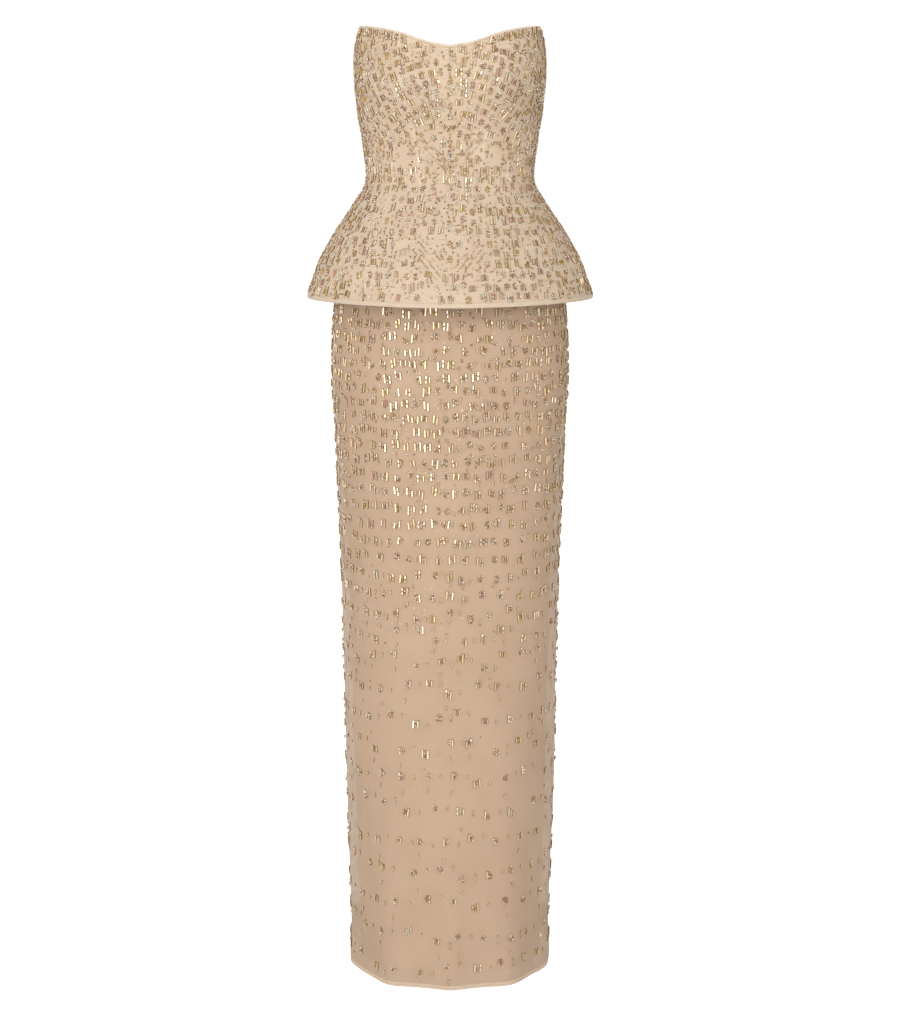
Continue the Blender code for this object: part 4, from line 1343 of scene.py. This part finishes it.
def bead_bodice():
    beads = BeadedCloth("bodice", bodice_point, 11, 0.22)
    rng = beads.random
    bead_centre_front(beads)
    bead_waist_figure(beads)
    # Rows along the waist and under the neckline
    for index, (base, pitch) in enumerate(WAIST_ROWS):
        for angle in steps(-176.0 + 2.0 * index, 177.0, pitch):
            beads.cluster(angle, base + beads.jitter(0.0016), 0.0, BODICE_RADIUS, BODICE_MIX)
    for angle in steps(-175.0, 176.0, 5.6):
        lean = 0.6 * lean_here(angle, 0.19)
        beads.cluster(angle, neckline_height(angle) - 0.0090, lean, BODICE_RADIUS, BODICE_MIX)
    # Arches over the bust, about the middle of the waist
    for arch in range(ARCH_COUNT):
        radius = ARCH_FIRST + ARCH_PITCH * arch
        count = int(math.pi * radius / ARCH_STEP)
        for i in range(count + 1):
            turn = math.pi * (i + 0.5 * (arch % 2) + beads.jitter(0.08)) / count - 0.5 * math.pi
            x = radius * math.sin(turn)
            height = ARCH_CENTRE_HEIGHT + 0.92 * radius * math.cos(turn)
            angle = angle_of(bodice_point, x, height)
            if angle is None or abs(angle) > FRONT_LIMIT:
                continue
            if not 0.028 < height < neckline_height(angle) - 0.018 or rng.random() < 0.05:
                continue
            mix = SIDE_MIX if abs(angle) > SIDE_FROM else BODICE_MIX
            beads.cluster(angle, height, bodice_lean(x, height, angle), BODICE_RADIUS, mix)
    # Level rows round the sides and the back, and fillers at the front
    for row, height in enumerate(steps(SIDE_ROW_FIRST, 0.205, SIDE_ROW_PITCH)):
        for angle in steps(-176.0 + 2.4 * (row % 2), 177.0, SIDE_ROW_TURN):
            if height < neckline_height(angle) - 0.017 and not pull_zone(angle, height):
                here = height + beads.jitter(0.0018)
                mix = SIDE_MIX if abs(angle) > SIDE_FROM else BODICE_MIX
                beads.cluster(angle, here, lean_here(angle, here), BODICE_RADIUS, mix)

    def fits(angle, height):
        inside = height < neckline_height(angle) - 0.009 and not pull_zone(angle, height)
        return inside and (abs(angle) > 42.0 or height < 0.06 or rng.random() < 0.5)

    def dot_fits(angle, height):
        return height < neckline_height(angle) - 0.008 and not pull_zone(angle, height)

    beads.fill(11000, 177.0, 0.003, 0.208, fits, lean_here)
    beads.dot(4000, 177.0, 0.008, 0.206, dot_fits)
    return beads.finish()


def pull_zone(angle, height):
    """Where the zip's pull hangs, which stays bare."""
    return by_zip(angle, 5.0) and 0.10 < height < 0.15


def bead_peplum():
    beads = BeadedCloth("peplum", peplum_point, 23, 0.20)
    rng = beads.random
    for side in (-1.0, 1.0):
        for line in range(PEPLUM_CHEVRON_LINES):
            for step in range(PEPLUM_CHEVRON_STEPS):
                share = (step + 0.4 + 0.3 * (line % 2) + beads.jitter(0.12)) / 4.4
                x = blend(0.006, 0.040, share) + 0.004 * line
                height = blend(-0.120, -0.078, share) - 0.0058 * (line - 1.5) + beads.jitter(0.0008)
                if rng.random() < 0.85:
                    lean = -side * (42.0 + beads.jitter(5.0))
                    beads.dash(angle_of(peplum_point, side * x, height), height, lean,
                               rng.choice((GOLD, CHAMPAGNE, PALE)), rng.choice((DASH, SHORT_DASH)))
    beads.knots(PEPLUM_KNOTS, 6, 0.0042)
    for row in range(PEPLUM_ROWS):
        share = 0.032 + 0.888 * row / (PEPLUM_ROWS - 1)
        step = CLOSE_STEP if row < 3 or row > PEPLUM_ROWS - 3 else WIDE_STEP
        count = int(girth_at(peplum_point, peplum_height(0.0, share)) / step)
        for i in range(count):
            angle = -180.0 + 360.0 * (i + 0.5 * (row % 2) + beads.jitter(0.16)) / count
            if by_zip(angle, 2.2) or rng.random() < 0.07:
                continue
            height = peplum_height(angle, share) + beads.jitter(0.0032)
            beads.cluster(angle, height, beads.jitter(6.0), CLUSTER_RADIUS - 0.0005, PEPLUM_MIX)

    def fits(angle, height):
        above_band = height > peplum_hem_height(angle) + PEPLUM_BAND + 0.004
        return above_band and not by_zip(angle, 1.6)

    beads.fill(9000, 179.0, -0.158, -0.003, lambda angle, height: fits(angle, height) and rng.random() < 0.75,
               upright)
    beads.dot(4000, 179.0, -0.158, -0.006, fits)
    return beads.finish()


RowStep = namedtuple("RowStep", "height pitch step")

SKIRT_ROWS = rows_of(RowStep, (
    (-0.150, 0.0172, 0.0146), (-0.300, 0.0192, 0.0158), (-0.400, 0.0220, 0.0180), (-0.500, 0.0250, 0.0205),
    (-0.580, 0.0280, 0.0255), (-0.650, 0.0380, 0.0320), (-0.750, 0.0440, 0.0350), (-1.148, 0.0490, 0.0385),
))
SKIRT_FIRST_ROW = -0.158
SPARSE_FROM = -0.50
SPARSE_FADE = 0.14


def bead_skirt():
    beads = BeadedCloth("skirt", creased_overlay_point, 37, 0.12)
    rng = beads.random
    pitch_at = Curve(SKIRT_ROWS, "height", "pitch")
    step_at = Curve(SKIRT_ROWS, "height", "step")
    height, row = SKIRT_FIRST_ROW, 0
    while height > SKIRT_HEM + 0.014:
        sparse = ease((SPARSE_FROM - height) / SPARSE_FADE)
        mix = SPARSE_MIX if height < SPARSE_FROM - SPARSE_FADE else SKIRT_MIX
        count = int(girth_at(overlay_point, height) / step_at(height))
        sway = beads.jitter(0.5)
        for i in range(count):
            angle = -180.0 + 360.0 * (i + 0.5 * (row % 2) + 0.3 * sway + beads.jitter(0.18)) / count
            if by_zip(angle, 1.8):
                continue
            here = height + beads.jitter(0.0034 + 0.006 * sparse)
            if here > SKIRT_HEM + 0.010:
                beads.cluster(angle, here, beads.jitter(3.0), CLUSTER_RADIUS, mix)
            between = angle + 180.0 / count
            if rng.random() < 0.30 + 0.45 * sparse:
                beads.put_drop(between, here + beads.jitter(0.004))
            if rng.random() < 0.5 * sparse and here > SKIRT_HEM + 0.018:
                place = beads.frame_at(between, here + beads.jitter(0.010))
                beads.put_seed(place, 0.0, 0.0, rng.choice((GOLD, TAN, CHAMPAGNE)))
            if rng.random() < 0.6 * sparse:
                beads.put_drop(angle + beads.jitter(2.0), here - 0.5 * pitch_at(height) + beads.jitter(0.005))
        height -= pitch_at(height)
        row += 1
    beads.fill(1300, 178.0, -0.44, -0.150, lambda angle, height: rng.random() < 0.8, upright)
    beads.dot(700, 178.0, -0.62, -0.150, lambda angle, height: True)
    return beads.finish()


# Sewing


def stitch_round(group, surface, height_at, pitch, kind, widest):
    """A row of stitches round the body, each along the row."""
    angle = -widest
    turns = random.Random(5)
    while angle < widest:
        height = height_at(angle)
        uneven = height + turns.uniform(-0.0002, 0.0002)
        group.add(kind, frame_on(surface, angle, uneven, 90.0 + turns.uniform(-5.0, 5.0)), THREAD_TINT)
        angle += math.degrees(pitch / surface(angle, height).xy.length)


def make_stitches():
    """Hem stitches of the lining and the overlay, and prick stitches beside the edges and the zip."""
    group = Beads("seam_stitches", THREAD_LOOK, "thread")
    lining_line, hem_line, band_line, neck_line = (
        lambda angle: LINING_HEM + LINING_ALLOWANCE - 0.002,
        lambda angle: SKIRT_HEM + sheer_hem_depth(angle) - 0.001,
        lambda angle: peplum_hem_height(angle) + PEPLUM_BAND,
        lambda angle: neckline_height(angle) - BINDING_HEIGHT - 0.0004)
    stitch_round(group, lining_point, lining_line, 0.0062, STITCH, 180.0)
    stitch_round(group, creased_overlay_point, hem_line, 0.0070, PRICK, 180.0)
    stitch_round(group, peplum_point, band_line, 0.0050, PRICK, 180.0)
    stitch_round(group, bodice_point, neck_line, 0.0045, PRICK, 178.5)
    for side in (-1.0, 1.0):
        for i in range(24):
            height = 0.006 + 0.0057 * i
            angle = CENTRE_BACK - side * math.degrees(0.0062 / abs(bodice_point(CENTRE_BACK, height).y))
            group.add(PRICK, frame_on(bodice_point, angle, height), THREAD_TINT)
    return group.finish()


def tape_inner_depth(height):
    """How far the zip tapes' inner face lies inside the cloth's outer surface, as in the part."""
    if height < 0.0:
        return PART_LINING_WALL + TAPE_GAP + TAPE_WALL
    at_waist = bodice_point(CENTRE_BACK, 0.0).y - lining_point(CENTRE_BACK, 0.0).y + PART_LINING_WALL
    return blend(at_waist, BODICE_WALL, min(1.0, height / TAPE_SETTLE)) + TAPE_GAP + TAPE_WALL


def make_zip_coil():
    """Two rows of teeth on the tapes' inner face: meshed below the slider and apart above it."""
    group = Beads("zip_teeth", COIL_LOOK, "thread")
    first = ZIP_END + 0.004
    for i in range(int((COIL_TOP - first) / COIL_PITCH)):
        height = first + i * COIL_PITCH
        if abs(height - SLIDER_HEIGHT) < SLIDER_REACH:
            continue
        side = 1.0 if i % 2 else -1.0
        near = -TOOTH_CROSSING if height < SLIDER_HEIGHT else TOOTH_CLEARANCE
        tooth = bar_shape(TOOTH_REACH - near, TOOTH_HEIGHT, TOOTH_THICKNESS)
        surface = lining_point if height < 0.0 else bodice_point
        y = surface(CENTRE_BACK, height).y - tape_inner_depth(height) - TOOTH_LIFT
        centre = Vector((side * 0.5 * (TOOTH_REACH + near), y, height))
        turned = Matrix.Rotation(math.pi, 4, "X")
        group.add(tooth, Matrix.Translation(centre) @ turned, COIL_TINT)
    return group.finish()


# Camera, lights and floor

CAMERA_PLACE = Vector((0.0, -3.088, 0.0738))
CAMERA_TARGET = Vector((0.0, 0.0, -0.4707))
CAMERA_LENS = 75.96
SENSOR = 36.0
FLOOR_HEIGHT = -1.20


def aimed(item, target):
    item.rotation_euler = (target - item.location).to_track_quat("-Z", "Y").to_euler()


def make_camera():
    data = bpy.data.cameras.new("photo_camera")
    data.sensor_width = SENSOR
    data.lens = CAMERA_LENS
    camera = bpy.data.objects.new("photo_camera", data)
    camera.location = CAMERA_PLACE
    aimed(camera, CAMERA_TARGET)
    bpy.context.scene.collection.objects.link(camera)
    bpy.context.scene.camera = camera


def softbox(name, azimuth, distance, height, size, power, target_height, glossy=True, diffuse=True):
    """Rectangular soft light. Azimuth 0 is in front of the gown, and 90 at the wearer's left."""
    data = bpy.data.lights.new(name, "AREA")
    data.shape = "RECTANGLE"
    data.size, data.size_y = size
    data.energy = power
    light = bpy.data.objects.new(name, data)
    turn = math.radians(azimuth)
    light.location = Vector((distance * math.sin(turn), -distance * math.cos(turn), height))
    aimed(light, Vector((0.0, 0.0, target_height)))
    light.visible_camera = False
    light.visible_glossy = glossy
    light.visible_diffuse = diffuse
    bpy.context.scene.collection.objects.link(light)


def make_studio():
    softbox("key_left", -23.0, 2.9, -0.20, (2.7, 1.5), 42.0, -0.20)
    softbox("key_left_high", -23.0, 2.9, 1.05, (2.7, 1.0), 28.5, -0.20, glossy=False)
    softbox("glints_right", 16.0, 2.9, 0.22, (0.8, 0.7), 11.0, 0.13, diffuse=False)
    softbox("fill_right", 58.0, 3.2, 0.3, (1.2, 2.2), 32.0, -0.4, glossy=False)
    softbox("fill_left", -75.0, 3.2, 0.3, (1.2, 2.2), 5.0, -0.4, glossy=False)
    softbox("upper_front", -6.0, 2.2, 1.7, (1.8, 1.2), 24.0, -0.2, glossy=False)
    softbox("top", 10.0, 1.6, 2.4, (2.0, 1.4), 9.0, -0.2)
    softbox("back_left", -150.0, 3.0, 0.4, (1.4, 2.4), 18.0, -0.4, glossy=False)
    softbox("back_right", 150.0, 3.0, 0.4, (1.4, 2.4), 18.0, -0.4, glossy=False)
    world = bpy.data.worlds.new("white_studio")
    look = Look(world, "Background")
    # The white backdrop shows behind the gown from every side, and lights it less than it shows
    forward = look.node("SeparateXYZ", {0: look.node("TexCoord", output="Generated")}, output="Y")
    seen = look.node("LightPath", output="Is Camera Ray")
    strength = look.node("Mix", {0: seen, 2: look.spread(forward, -0.95, -0.35, 0.12, 0.50), 3: 1.05})
    look.surface(color=look.mix(seen, (1.0, 0.91, 0.80), (1.0, 1.0, 1.0)), strength=strength)
    bpy.context.scene.world = world
    bpy.context.scene.view_settings.view_transform = "Standard"


def make_floor():
    size = 14.0
    corners = [(-size, -size, FLOOR_HEIGHT), (size, -size, FLOOR_HEIGHT),
               (size, size, FLOOR_HEIGHT), (-size, size, FLOOR_HEIGHT)]
    look = Look(bpy.data.materials.new("white_floor"))
    # It shows as white as the backdrop, and throws less light up at the gown than it shows
    shown = look.node("LightPath", output="Is Camera Ray")
    look.surface(base_color=(0.60, 0.60, 0.60, 1.0), roughness=0.7, emission_color=(1.0, 1.0, 1.0, 1.0),
                 emission_strength=look.spread(shown, 0.0, 1.0, 0.12, 1.00))
    floor = new_object("studio_floor", corners, [[0, 1, 2, 3]], [look.material], smooth=False)


def main():
    make_camera()
    make_studio()
    make_floor()
    bodice = make_bodice()
    binding = make_binding()
    peplum = make_peplum()
    overlay = make_overlay()
    overlay_hem = make_overlay_hem()
    lining = make_lining()
    bodice_beads = bead_bodice()
    peplum_beads = bead_peplum()
    skirt_beads = bead_skirt()
    sewing = [make_stitches(), make_zip_coil()]
    cloths = [bodice, binding, peplum, overlay, overlay_hem, lining]
    for piece in cloths + bodice_beads + peplum_beads + skirt_beads + sewing:
        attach(piece, "gown")
    for name, material in (("zip_tape_left", TAPE_LOOK), ("zip_tape_right", TAPE_LOOK),
                           ("zip_slider", BRASS_LOOK), ("zip_pull", BRASS_LOOK)):
        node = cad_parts[name]
        node.data.materials.clear()
        node.data.materials.append(material)


main()
